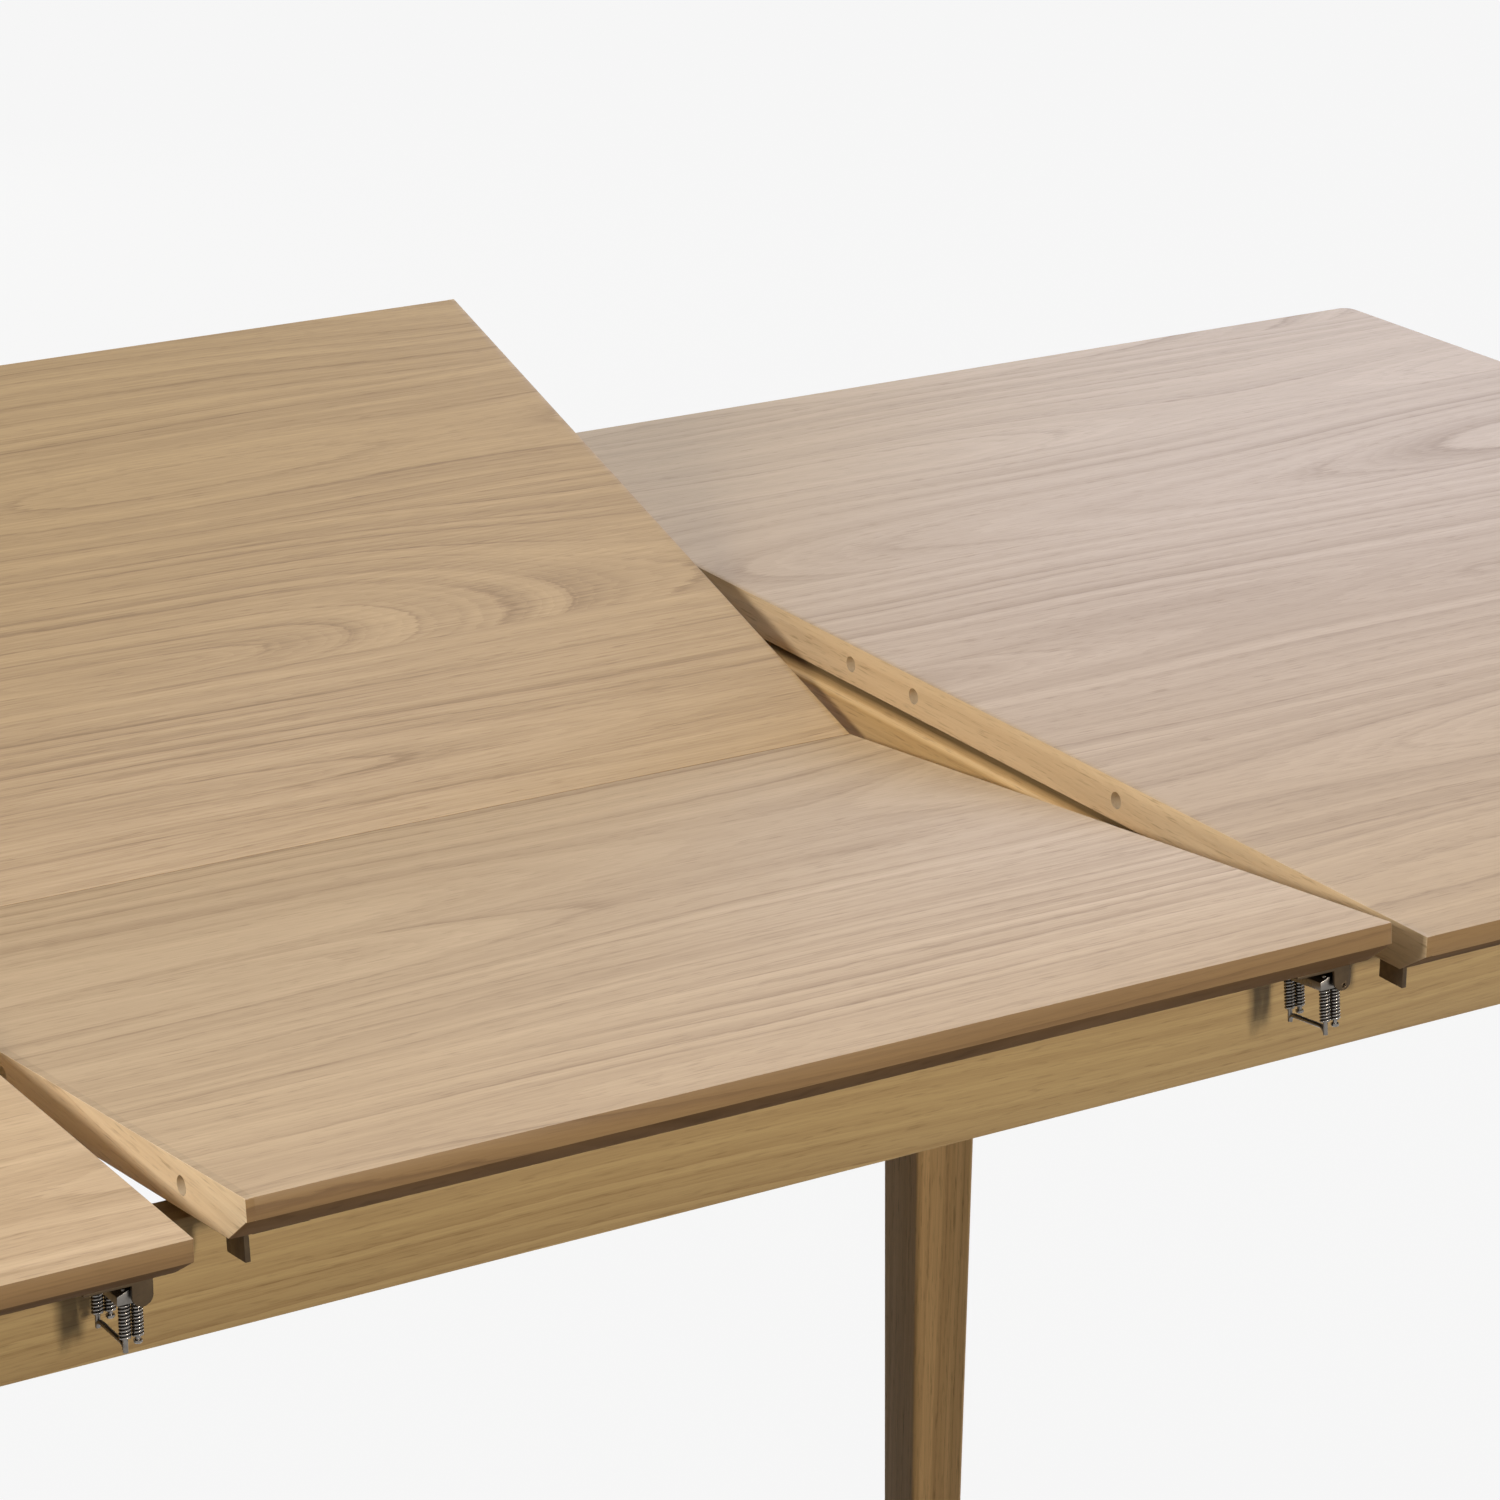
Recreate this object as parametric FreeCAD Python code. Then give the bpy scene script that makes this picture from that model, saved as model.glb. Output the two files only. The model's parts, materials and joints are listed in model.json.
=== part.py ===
"""Extending dining table with a self-storing butterfly leaf, shown with its leaf half unfolded.

Millimetres. X runs along the table, Y across it (front is -Y) and Z is up. The origin is on the
floor under the middle of the table. The leaf halves are drawn flat and then turned to the stored
pose. Every solid is written to parts/NODE.step.
"""
import FreeCAD
import Part
import math
import os

V = FreeCAD.Vector

# ---- driving dimensions ----
table_height = 750.0
table_width = 900.0
top_length = 660.0            # each of the two sliding tops
top_thickness = 22.0
leaf_length = 570.0           # along X, between the two tops
leaf_gap = 22.0               # from each end of the leaf to the top beside it, as stored
lipping = 4.0                 # solid oak strip on the edges that meet

edge_face = 10.0              # upright part of the outer edge, above the underbevel
bevel_inset = 18.0
corner_radius = 8.0

side_overhang = 68.0          # top beyond the frame, front and rear
end_overhang = 52.0           # top beyond the frame at the ends, with the table closed
apron_height = 55.0
apron_thickness = 20.0
top_clearance = 3.0           # between the frame and the underside of the tops

leg_top = 50.0
leg_foot = 38.0
leg_edge_radius = 4.0
glide_height = 5.0
glide_radius = 13.0

cross_rail_thickness = 22.0
well_clearance = 12.0         # from each end of the leaf to the cross rail beside it
cross_rail_round = 3.0

block_thickness = 16.0
block_height = 45.0
block_standoff = 3.6          # between a corner block and the corner of its leg
bolt_radius = 4.0
bolt_clearance = 0.5
bolt_grip = 30.0              # length of thread in the leg
bolt_spacing = 20.0
nut_across = 13.0
nut_height = 6.5
bolt_tail = 4.0               # length of thread beyond the nut

runner_width = 24.0
runner_height = 32.0
runner_length = 560.0
runner_inset = 204.0          # from the long edge of the table to a runner's inner face
groove_depth = 8.5
groove_height = 8.8
groove_rise = 3.6             # from the runner's underside to the groove
guide_thickness = 12.0
guide_height = 28.0
guide_gap = 1.0               # between a runner and its guide
guide_end_gap = 0.5           # between a guide and the corner block beyond it
tongue_depth = 8.0
tongue_clearance = 0.4
runner_clearance = 1.5
stop_length = 17.7
stop_gap = 0.3

pad_length = 30.0
pad_width = 12.0
pad_thickness = 2.7

leaf_tilt = 17.7              # rear half of the leaf, rear edge up
front_tilt = 6.1              # front half of the leaf, front edge up
seam_half_gap = 0.1
pivot_drop = 30.0             # leaf pivot below the top surface

peg_radius = 4.0
peg_reach = 5.0
peg_depth = 18.0
peg_chamfer = 1.2
peg_hole_radius = 4.3
peg_hole_depth = 12.0
peg_offsets = (30.0, 210.0, 390.0)

pivot_plate_thickness = 3.0
pivot_plate_length = 40.0
pivot_plate_width = 42.0
pivot_ear_radius = 7.5
pivot_pin_radius = 3.5
pivot_pin_clearance = 0.08
pivot_ear_gap = 1.0           # between the ear and the leaf
bracket_width = 30.0
bracket_drop = 30.0
bracket_eye = 6.0

barrel_radius = 6.0
barrel_length = 20.0
barrel_spacing = 200.0
link_inner = 5.0
link_outer = 14.0
link_half_angle = 28.0
link_thickness = 4.0
link_clearance = 0.3

latch_inset = 38.0            # latch middle from the long edge of the table
latch_setback = 14.0          # latch hinge from the meeting edge
latch_plate = 1.5
latch_half_width = 19.5
latch_plate_length = 30.0
latch_drop = 7.0              # latch hinge below the underside
latch_pin_radius = 2.0
latch_pin_clearance = 0.08
ear_radius = 4.6
ear_thickness = 1.6
yoke_half_width = 15.6
yoke_radius = 4.0
claw_reach = 29.5             # from the latch hinge to the claw's cross bar
claw_offset = 5.5             # from the guide rods to the claw's arms
claw_half_width = 13.0
claw_rod = 1.1
claw_bend = 3.5
claw_head = 1.9
spring_radius = 2.7
spring_bore = 1.3
spring_length = 16.5
spring_coils = 5
spring_groove = 0.6
spring_sides = 10
guide_rod_reach = 1.0         # guide rod below its spring
claw_head_height = 1.5
claw_seat = 6.0               # length of each arm inside the yoke

catch_lip = 11.5              # catch lip from the meeting edge
catch_lip_drop = 16.0
catch_thickness = 2.5
catch_length = 26.0
catch_half_width = 17.0

cut_past = 1.0                # how far a cutting tool reaches past a surface
near = 0.01                   # distance within which an edge counts as lying on a face

# ---- worked out ----
half_width = table_width / 2
underside = table_height - top_thickness
leaf_half_length = leaf_length / 2
top_inner = leaf_half_length + leaf_gap
top_outer = top_inner + top_length
frame_half_length = top_length - end_overhang
frame_half_width = half_width - side_overhang
frame_top = underside - top_clearance
frame_bottom = frame_top - apron_height
leg_inner_x = frame_half_length - leg_top
leg_inner_y = frame_half_width - leg_top
apron_inner_y = frame_half_width - apron_thickness
end_inner_x = frame_half_length - apron_thickness
rail_inner_x = leaf_half_length + well_clearance
rail_outer_x = rail_inner_x + cross_rail_thickness
bolt_middle = frame_top - apron_height / 2

runner_inner = half_width - runner_inset
runner_outer = runner_inner + runner_width
runner_bottom = underside - runner_height
groove_bottom = runner_bottom + groove_rise
stop_end_x = top_inner + stop_length + stop_gap
block_outer = leg_inner_x + leg_inner_y - block_standoff * math.sqrt(2)
block_inner = block_outer - block_thickness * math.sqrt(2)
guide_end_x = block_inner - (runner_outer + guide_gap + guide_thickness) - guide_end_gap

pivot_y = half_width / 4
pivot_z = table_height - pivot_drop
middle_z = table_height - top_thickness / 2
latch_z = underside - latch_drop
latch_y = half_width - latch_inset
latch_plate_bottom = underside - latch_plate

ALONG = V(1, 0, 0)
ACROSS = V(0, 1, 0)
UP = V(0, 0, 1)

os.makedirs("parts", exist_ok=True)


# ---- helpers ----
def box(x, y, z):
    """A box from three (low, high) pairs, in any order within each pair."""
    low = V(min(x), min(y), min(z))
    return Part.makeBox(max(x) - low.x, max(y) - low.y, max(z) - low.z, low)


def rod(radius, start, end):
    return Part.makeCylinder(radius, (end - start).Length, start, end - start)


def prism(points, travel):
    """A closed outline carried along a vector."""
    outline = Part.makePolygon(points + points[:1])
    return Part.Face(outline).extrude(travel)


def mirrored(shape, direction):
    return shape.mirror(V(0, 0, 0), direction)


def both_sides(shape, direction):
    return [shape, mirrored(shape, direction)]


def cut_all(shape, tools):
    for tool in tools:
        shape = shape.cut(tool)
    return shape


def save(node, shapes):
    """One STEP file for one named node."""
    solids = [s for shape in shapes for s in shape.Solids]
    result = solids[0] if len(solids) == 1 else Part.makeCompound(solids)
    result.exportStep("parts/%s.step" % node)


def tilt_rear(shape):
    """From the flat leaf to the stored pose of its rear half."""
    return shape.rotated(V(0, pivot_y, pivot_z), ALONG, leaf_tilt)


def tilt_front(shape):
    """From the flat leaf to the stored pose of its front half."""
    folded = shape.rotated(V(0, 0, table_height), ALONG, -(leaf_tilt + front_tilt))
    return tilt_rear(folded)


# ---- sliding tops ----
def rounded_outline(inset, radius, z):
    """Plan of the right top: square at its inner edge, rounded at its two outer corners."""
    x0 = top_inner
    x1 = top_outer - inset
    y1 = half_width - inset
    k = radius * (1 - math.sqrt(0.5))
    edges = [
        Part.LineSegment(V(x0, -y1, z), V(x1 - radius, -y1, z)),
        Part.Arc(V(x1 - radius, -y1, z), V(x1 - k, -y1 + k, z), V(x1, -y1 + radius, z)),
        Part.LineSegment(V(x1, -y1 + radius, z), V(x1, y1 - radius, z)),
        Part.Arc(V(x1, y1 - radius, z), V(x1 - k, y1 - k, z), V(x1 - radius, y1, z)),
        Part.LineSegment(V(x1 - radius, y1, z), V(x0, y1, z)),
        Part.LineSegment(V(x0, y1, z), V(x0, -y1, z)),
    ]
    return Part.Wire([edge.toShape() for edge in edges])


def sliding_top():
    """The right top: a board with an underbevel on its three outer edges."""
    face_bottom = table_height - edge_face
    rim = rounded_outline(0, corner_radius, face_bottom)
    foot = rounded_outline(bevel_inset, corner_radius / 2, underside)
    slab = Part.Face(rim).extrude(UP * edge_face)
    bevel = Part.makeLoft([foot, rim], True, True)
    return slab.fuse(bevel).removeSplitter()


def lipping_zone(x0, x1):
    return box((x0, x1), (-half_width, half_width), (underside, table_height))


def peg_rows(x, reach_to, radius, sides=(-1, 1)):
    """Cylinders along X at every peg position on the given sides of the middle line."""
    return [
        rod(radius, V(x, side * y, middle_z), V(reach_to, side * y, middle_z))
        for side in sides
        for y in peg_offsets
    ]


def peg(x, y):
    """A peg with a chamfered end that stands out of an edge facing +X."""
    shape = rod(peg_radius, V(x - peg_depth, y, middle_z), V(x + peg_reach, y, middle_z))
    tip = [edge for edge in shape.Edges if edge.BoundBox.XMin > x]
    return shape.makeChamfer(peg_chamfer, tip)


right_board = sliding_top()
right_holes = peg_rows(top_inner, top_inner + peg_hole_depth, peg_hole_radius)
right_zone = lipping_zone(top_inner, top_inner + lipping)
save("right_top", [cut_all(right_board.cut(right_zone), right_holes)])
save("right_top_lipping", [cut_all(right_board.common(right_zone), right_holes)])

left_board = mirrored(right_board, ALONG)
left_pegs = [peg(-top_inner, side * y) for side in (-1, 1) for y in peg_offsets]
left_bores = peg_rows(-top_inner - peg_depth, -top_inner, peg_radius)
left_zone = lipping_zone(-top_inner - lipping, -top_inner)
save("left_top", [cut_all(left_board.cut(left_zone), left_bores)])
save("left_top_lipping", [cut_all(left_board.common(left_zone), left_bores)])
save("left_top_pegs", left_pegs)


# ---- runners, guides and stops ----
def runner():
    """The front runner of the right top, with the groove that its guide's tongue fills."""
    x = (top_inner, top_inner + runner_length)
    y = (-runner_outer, -runner_inner)
    bar = box(x, y, (runner_bottom, underside))
    groove = box(x, (-runner_outer, -runner_outer + groove_depth),
                 (groove_bottom, groove_bottom + groove_height))
    return bar.cut(groove)


def runner_stop():
    """A hardwood plug in the inner end of the groove."""
    return box((top_inner, top_inner + stop_length), (-runner_outer, -runner_outer + groove_depth),
               (groove_bottom, groove_bottom + groove_height))


def guide():
    """The fixed guide between the cross rail and the end apron."""
    face = -runner_outer - guide_gap
    middle = groove_bottom + groove_height / 2
    batten = box((rail_outer_x, guide_end_x), (face - guide_thickness, face),
                 (middle - guide_height / 2, middle + guide_height / 2))
    rise = groove_height / 2 - tongue_clearance
    tongue = box((stop_end_x, guide_end_x), (face, face + tongue_depth), (middle - rise, middle + rise))
    return batten.fuse(tongue).removeSplitter()


def runner_notches():
    """Space for both runners, cut from the top of a rail."""
    y = (-runner_outer - guide_gap, -runner_inner + runner_clearance)
    notch = box((0, top_outer), y, (runner_bottom - runner_clearance, frame_top))
    return both_sides(notch, ACROSS)


for side, turn in (("right", lambda s: s), ("left", lambda s: mirrored(s, ALONG))):
    save(side + "_runners", [turn(s) for s in both_sides(runner(), ACROSS)])
    save(side + "_runner_stops", [turn(s) for s in both_sides(runner_stop(), ACROSS)])
    save(side + "_guides", [turn(s) for s in both_sides(guide(), ACROSS)])


# ---- frame ----
def leg_section(size, z):
    """A square with rounded corners that keeps to the outer corner of the front right leg."""
    x1 = frame_half_length
    y0 = -frame_half_width
    x0 = x1 - size
    y1 = y0 + size
    r = leg_edge_radius
    k = r * (1 - math.sqrt(0.5))
    edges = [
        Part.makeLine(V(x0 + r, y0, z), V(x1 - r, y0, z)),
        Part.Arc(V(x1 - r, y0, z), V(x1 - k, y0 + k, z), V(x1, y0 + r, z)).toShape(),
        Part.makeLine(V(x1, y0 + r, z), V(x1, y1 - r, z)),
        Part.Arc(V(x1, y1 - r, z), V(x1 - k, y1 - k, z), V(x1 - r, y1, z)).toShape(),
        Part.makeLine(V(x1 - r, y1, z), V(x0 + r, y1, z)),
        Part.Arc(V(x0 + r, y1, z), V(x0 + k, y1 - k, z), V(x0, y1 - r, z)).toShape(),
        Part.makeLine(V(x0, y1 - r, z), V(x0, y0 + r, z)),
        Part.Arc(V(x0, y0 + r, z), V(x0 + k, y0 + k, z), V(x0 + r, y0, z)).toShape()]
    return Part.Wire(edges)


def leg():
    """The front right leg, square beside the aprons and tapered on its inner faces below them."""
    foot = leg_section(leg_foot, glide_height)
    knee = leg_section(leg_top, frame_bottom)
    head = leg_section(leg_top, frame_top)
    return Part.makeLoft([foot, knee, head], True, True)


def leg_glide():
    middle = leg_foot / 2
    foot = V(frame_half_length - middle, -frame_half_width + middle, 0)
    return rod(glide_radius, foot, foot + UP * glide_height)


def corner_block():
    """A block across the corner inside the front right leg, seen in plan as a 45 degree band."""
    low = bolt_middle - block_height / 2
    corners = [
        V(block_outer - apron_inner_y, -apron_inner_y, low), V(end_inner_x, end_inner_x - block_outer, low),
        V(end_inner_x, end_inner_x - block_inner, low), V(block_inner - apron_inner_y, -apron_inner_y, low)]
    return prism(corners, UP * block_height)


def leg_bolts():
    """Threaded rods from the front right leg through its block, and the nut on each."""
    block_face = leg_corner - towards_corner * (block_standoff + block_thickness)
    rods, nuts = [], []
    for level in bolt_levels:
        face = block_face + level
        tail = face - towards_corner * (nut_height + bolt_tail)
        nut = hex_bar(face - towards_corner * nut_height, towards_corner * nut_height)
        rods.append(rod(bolt_radius, tail, leg_corner + level + towards_corner * bolt_grip))
        nuts.append(nut.cut(rod(bolt_radius, tail, face)))
    return rods, nuts


def hex_bar(start, travel):
    """A hexagonal bar of nut_across across its flats."""
    radius = nut_across / math.sqrt(3)
    sideways = travel.cross(UP).normalize()
    points = []
    for k in range(6):
        angle = math.radians(60 * k)
        points.append(start + UP * (radius * math.cos(angle)) + sideways * (radius * math.sin(angle)))
    return prism(points, travel)


def four_corners(shape):
    """Front right, rear right, front left and rear left copies."""
    right = both_sides(shape, ACROSS)
    return right + [mirrored(s, ALONG) for s in right]


towards_corner = V(1, -1, 0).normalize()
leg_corner = V(leg_inner_x, -leg_inner_y, 0)
bolt_levels = [UP * (bolt_middle - bolt_spacing / 2), UP * (bolt_middle + bolt_spacing / 2)]
bolt_rods, bolt_nuts = leg_bolts()
leg_shape = cut_all(leg(), bolt_rods)
corner_names = ("front_right", "rear_right", "front_left", "rear_left")
for name, shape in zip(corner_names, four_corners(leg_shape)):
    save(name + "_leg", [shape])

block_bores = [rod(bolt_radius + bolt_clearance, leg_corner + level,
                   leg_corner + level - towards_corner * 2 * leg_top) for level in bolt_levels]
save("corner_blocks", four_corners(cut_all(corner_block(), block_bores)))
save("leg_bolts", [s for part in bolt_rods for s in four_corners(part)])
save("leg_nuts", [s for part in bolt_nuts for s in four_corners(part)])
save("leg_glides", four_corners(leg_glide()))

front_apron = box((-leg_inner_x, leg_inner_x), (-frame_half_width, -apron_inner_y),
                  (frame_bottom, frame_top))
save("front_apron", [front_apron])
save("rear_apron", [mirrored(front_apron, ACROSS)])

end_apron = box((end_inner_x, frame_half_length), (-leg_inner_y, leg_inner_y), (frame_bottom, frame_top))
end_apron = cut_all(end_apron, runner_notches())
save("right_end_apron", [end_apron])
save("left_end_apron", [mirrored(end_apron, ALONG)])

cross_rail = box((rail_inner_x, rail_outer_x), (-apron_inner_y, apron_inner_y), (frame_bottom, frame_top))
well_edge = [edge for edge in cross_rail.Edges
             if edge.BoundBox.XMax < rail_inner_x + near and edge.BoundBox.ZMin > frame_top - near]
cross_rail = cut_all(cross_rail.makeFillet(cross_rail_round, well_edge), runner_notches())
save("right_cross_rail", [cross_rail])
save("left_cross_rail", [mirrored(cross_rail, ALONG)])


def apron_pad(x):
    """A felt pad on the front apron."""
    y = -frame_half_width + apron_thickness / 2
    return box((x - pad_length / 2, x + pad_length / 2), (y - pad_width / 2, y + pad_width / 2),
               (frame_top, frame_top + pad_thickness))


pad_places = (leaf_half_length - pad_length, top_inner + pad_length, leg_inner_x - pad_length)
save("felt_pads", [s for x in pad_places for s in four_corners(apron_pad(x))])


# ---- butterfly leaf, drawn flat ----
def leaf_half():
    """The rear half: square at the seam and the ends, underbevelled at the rear edge."""
    y0 = seam_half_gap
    y1 = half_width
    x = -leaf_half_length
    outline = [
        V(x, y0, underside), V(x, y1 - bevel_inset, underside), V(x, y1, table_height - edge_face),
        V(x, y1, table_height), V(x, y0, table_height)]
    return prism(outline, ALONG * leaf_length)


def hinge_places():
    return (-barrel_spacing, 0, barrel_spacing)


def barrel(x):
    """A hinge barrel in the edge of the rear half."""
    return rod(barrel_radius, V(x, seam_half_gap, middle_z), V(x, barrel_length, middle_z))


def arc_link(x, clearance=0.0):
    """A curved link about the seam line, across both halves."""
    half = link_thickness / 2 + clearance
    spread = math.radians(link_half_angle) + clearance / link_inner
    inner = link_inner - clearance
    outer = link_outer + clearance

    def at(radius, angle):
        return V(x - half, radius * math.sin(angle), table_height - radius * math.cos(angle))

    edges = [
        Part.Arc(at(inner, -spread), at(inner, 0), at(inner, spread)).toShape(),
        Part.makeLine(at(inner, spread), at(outer, spread)),
        Part.Arc(at(outer, spread), at(outer, 0), at(outer, -spread)).toShape(),
        Part.makeLine(at(outer, -spread), at(inner, -spread))]
    return Part.Face(Part.Wire(edges)).extrude(ALONG * 2 * half)


def pivot_plate():
    """Right pivot plate under the rear half: a flange, an ear beyond the leaf's end and a pin."""
    inner = leaf_half_length + pivot_ear_gap
    ear_x = (inner, inner + pivot_plate_thickness)
    ear_top = underside - pivot_ear_gap
    flange = box((ear_x[1] - pivot_plate_length, ear_x[1]),
                 (pivot_y - pivot_plate_width / 2, pivot_y + pivot_plate_width / 2),
                 (underside - pivot_plate_thickness, underside))
    relief = box((leaf_half_length, ear_x[1]), (0, half_width), (ear_top, underside))
    eye = rod(pivot_ear_radius, V(ear_x[0], pivot_y, pivot_z), V(ear_x[1], pivot_y, pivot_z))
    neck = box(ear_x, (pivot_y - pivot_ear_radius, pivot_y + pivot_ear_radius), (pivot_z, ear_top))
    under = box((0, top_inner), (0, half_width), (ear_top, table_height))
    pin = rod(pivot_pin_radius, V(ear_x[0], pivot_y, pivot_z), V(rail_inner_x - stop_gap, pivot_y, pivot_z))
    ear = eye.fuse(neck).cut(under)
    return flange.cut(relief).fuse(ear).fuse(pin).removeSplitter()


def pivot_bracket():
    """Right pivot bracket on the inner face of the cross rail."""
    x = (rail_inner_x - pivot_plate_thickness, rail_inner_x)
    eye = rod(bracket_eye, V(x[0], pivot_y, pivot_z), V(x[1], pivot_y, pivot_z))
    half = bracket_width / 2
    low = pivot_z - bracket_drop
    shoulder = pivot_z - bracket_eye
    outline = [
        V(x[0], pivot_y - half, low), V(x[0], pivot_y + half, low), V(x[0], pivot_y + half, shoulder),
        V(x[0], pivot_y + bracket_eye, pivot_z), V(x[0], pivot_y - bracket_eye, pivot_z),
        V(x[0], pivot_y - half, shoulder)]
    plate = prism(outline, ALONG * pivot_plate_thickness)
    bore = rod(pivot_pin_radius + pivot_pin_clearance, V(x[0] - cut_past, pivot_y, pivot_z),
               V(x[1] + cut_past, pivot_y, pivot_z))
    return plate.fuse(eye).removeSplitter().cut(bore)


def leaf_pieces(half_board, side):
    """Board, lippings and pegs of one half; side is 1 for the rear and -1 for the front."""
    right_zone = lipping_zone(leaf_half_length - lipping, leaf_half_length)
    left_zone = lipping_zone(-leaf_half_length, -leaf_half_length + lipping)
    bores = peg_rows(leaf_half_length - peg_depth, leaf_half_length, peg_radius, (side,))
    holes = peg_rows(-leaf_half_length, -leaf_half_length + peg_hole_depth, peg_hole_radius, (side,))
    board = cut_all(half_board.cut(right_zone).cut(left_zone), bores + holes)
    lippings = [cut_all(half_board.common(right_zone), bores), cut_all(half_board.common(left_zone), holes)]
    pegs = [peg(leaf_half_length, side * y) for y in peg_offsets]
    return board, lippings, pegs


link_slots = [arc_link(x, link_clearance) for x in hinge_places()]
rear_barrels = [barrel(x) for x in hinge_places()]
front_barrels = [mirrored(s, ACROSS) for s in rear_barrels]

rear_board, rear_lippings, rear_pegs = leaf_pieces(leaf_half(), 1)
rear_board = cut_all(rear_board, rear_barrels + link_slots)
save("rear_leaf", [tilt_rear(rear_board)])
save("rear_leaf_lippings", [tilt_rear(s) for s in rear_lippings])
save("rear_leaf_pegs", [tilt_rear(s) for s in rear_pegs])
save("rear_hinge_barrels", [tilt_rear(cut_all(s, link_slots)) for s in rear_barrels])
save("leaf_pivot_plates", [tilt_rear(s) for s in both_sides(pivot_plate(), ALONG)])
save("pivot_brackets", both_sides(pivot_bracket(), ALONG))

front_board, front_lippings, front_pegs = leaf_pieces(mirrored(leaf_half(), ACROSS), -1)
front_board = cut_all(front_board, front_barrels + link_slots)
save("front_leaf", [tilt_front(front_board)])
save("front_leaf_lippings", [tilt_front(s) for s in front_lippings])
save("front_leaf_pegs", [tilt_front(s) for s in front_pegs])
save("front_hinge_barrels", [tilt_front(cut_all(s, link_slots)) for s in front_barrels])
save("hinge_links", [tilt_front(arc_link(x)) for x in hinge_places()])


# ---- spring claw latches, drawn flat about their hinge at (x, y, latch_z) ----
def latch_base(x, y):
    """A plate on the underside with two ears and the hinge pin."""
    plate = box((x + ear_radius - latch_plate_length, x + ear_radius),
                (y - latch_half_width, y + latch_half_width), (latch_plate_bottom, underside))
    shape = plate
    for side in (-1, 1):
        outer = y + side * latch_half_width
        inner = y + side * (latch_half_width - ear_thickness)
        ear = rod(ear_radius, V(x, inner, latch_z), V(x, outer, latch_z))
        neck = box((x - ear_radius, x + ear_radius), (inner, outer), (latch_z, latch_plate_bottom))
        shape = shape.fuse(ear).fuse(neck)
    pin = rod(latch_pin_radius, V(x, y - latch_half_width, latch_z), V(x, y + latch_half_width, latch_z))
    return [shape.removeSplitter().cut(pin), pin]


def claw(x, y):
    """The yoke on the hinge pin, the bent claw rod and the two short guide rods."""
    middle = V(x, y, latch_z)
    across = ACROSS * yoke_half_width
    tail = claw_offset + yoke_radius
    yoke = rod(yoke_radius, middle - across, middle + across)
    yoke = yoke.fuse(box((x - tail, x), (y - yoke_half_width, y + yoke_half_width),
                         (latch_z - yoke_radius, latch_z)))
    bore = rod(latch_pin_radius + latch_pin_clearance, middle - across * 2, middle + across * 2)
    arms = claw_rod_shape(x - claw_offset, y)
    guides = []
    for side in (-1, 1):
        top = V(x, y + side * claw_half_width, latch_z - yoke_radius)
        tip = top - UP * (spring_length + guide_rod_reach)
        guides.append(rod(claw_rod, top, tip).fuse(rod(claw_head, tip, tip - UP * claw_head_height)))
    return [yoke.removeSplitter().cut(bore).cut(arms), arms] + guides


def claw_rod_shape(x, y):
    """Round bar set to a U in two short steps: two arms joined by the cross bar at the bottom."""
    top = latch_z - yoke_radius + claw_seat
    low = latch_z - claw_reach
    w = claw_half_width
    path = Part.makePolygon([
        V(x, y - w, top), V(x, y - w, low + claw_bend), V(x, y - w + claw_bend, low),
        V(x, y + w - claw_bend, low), V(x, y + w, low + claw_bend), V(x, y + w, top)])
    section = Part.Wire([Part.makeCircle(claw_rod, V(x, y - w, top), UP)])
    mitred = 1
    return path.makePipeShell([section], True, False, mitred)


def spring_ring(radius, z):
    turns = [math.radians(360 * k / spring_sides) for k in range(spring_sides)]
    return [V(radius * math.cos(turn), radius * math.sin(turn), z) for turn in turns]


def flat_faced(rings):
    """A closed solid of flat faces through a stack of polygons with equal numbers of corners."""
    outlines = [rings[0], rings[-1]]
    for upper, lower in zip(rings, rings[1:]):
        for k in range(len(upper)):
            outlines.append([upper[k - 1], upper[k], lower[k], lower[k - 1]])
    faces = [Part.Face(Part.makePolygon(outline + outline[:1])) for outline in outlines]
    return Part.makeSolid(Part.makeShell(faces))


def claw_springs(x, y):
    """Four close-wound springs with a ridge for each coil, on the claw's arms and the guide rods."""
    pitch = spring_length / spring_coils
    rings = [spring_ring(spring_radius - spring_groove, 0)]
    for k in range(spring_coils):
        rings.append(spring_ring(spring_radius, -(k + 0.5) * pitch))
        rings.append(spring_ring(spring_radius - spring_groove, -(k + 1) * pitch))
    bore = prism(spring_ring(spring_bore, 0), UP * -spring_length)
    spring = flat_faced(rings).cut(bore)
    top = latch_z - yoke_radius
    places = [(x - offset, y + side * claw_half_width) for offset in (0, claw_offset) for side in (-1, 1)]
    return [spring.translated(V(px, py, top)) for px, py in places]


def catch_plate(edge_x, y):
    """A plate with a down-turned lip, on the underside beyond the edge at edge_x."""
    lip_x = edge_x + catch_lip
    plate = box((lip_x, lip_x + catch_length), (y - catch_half_width, y + catch_half_width),
                (latch_plate_bottom, underside))
    lip = box((lip_x, lip_x + catch_thickness), (y - catch_half_width / 2, y + catch_half_width / 2),
              (underside - catch_lip_drop, underside))
    return plate.fuse(lip).removeSplitter()


def keep(shape):
    return shape


leaf_latch_x = leaf_half_length - latch_setback
left_latch_x = -top_inner - latch_setback
latches = (
    ("front_leaf", leaf_latch_x, -latch_y, tilt_front),
    ("rear_leaf", leaf_latch_x, latch_y, tilt_rear),
    ("front_top", left_latch_x, -latch_y, keep),
    ("rear_top", left_latch_x, latch_y, keep))
for name, x, y, pose in latches:
    save(name + "_latch_base", [pose(s) for s in latch_base(x, y)])
    save(name + "_claw", [pose(s) for s in claw(x, y)])
    save(name + "_claw_springs", [pose(s) for s in claw_springs(x, y)])

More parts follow.
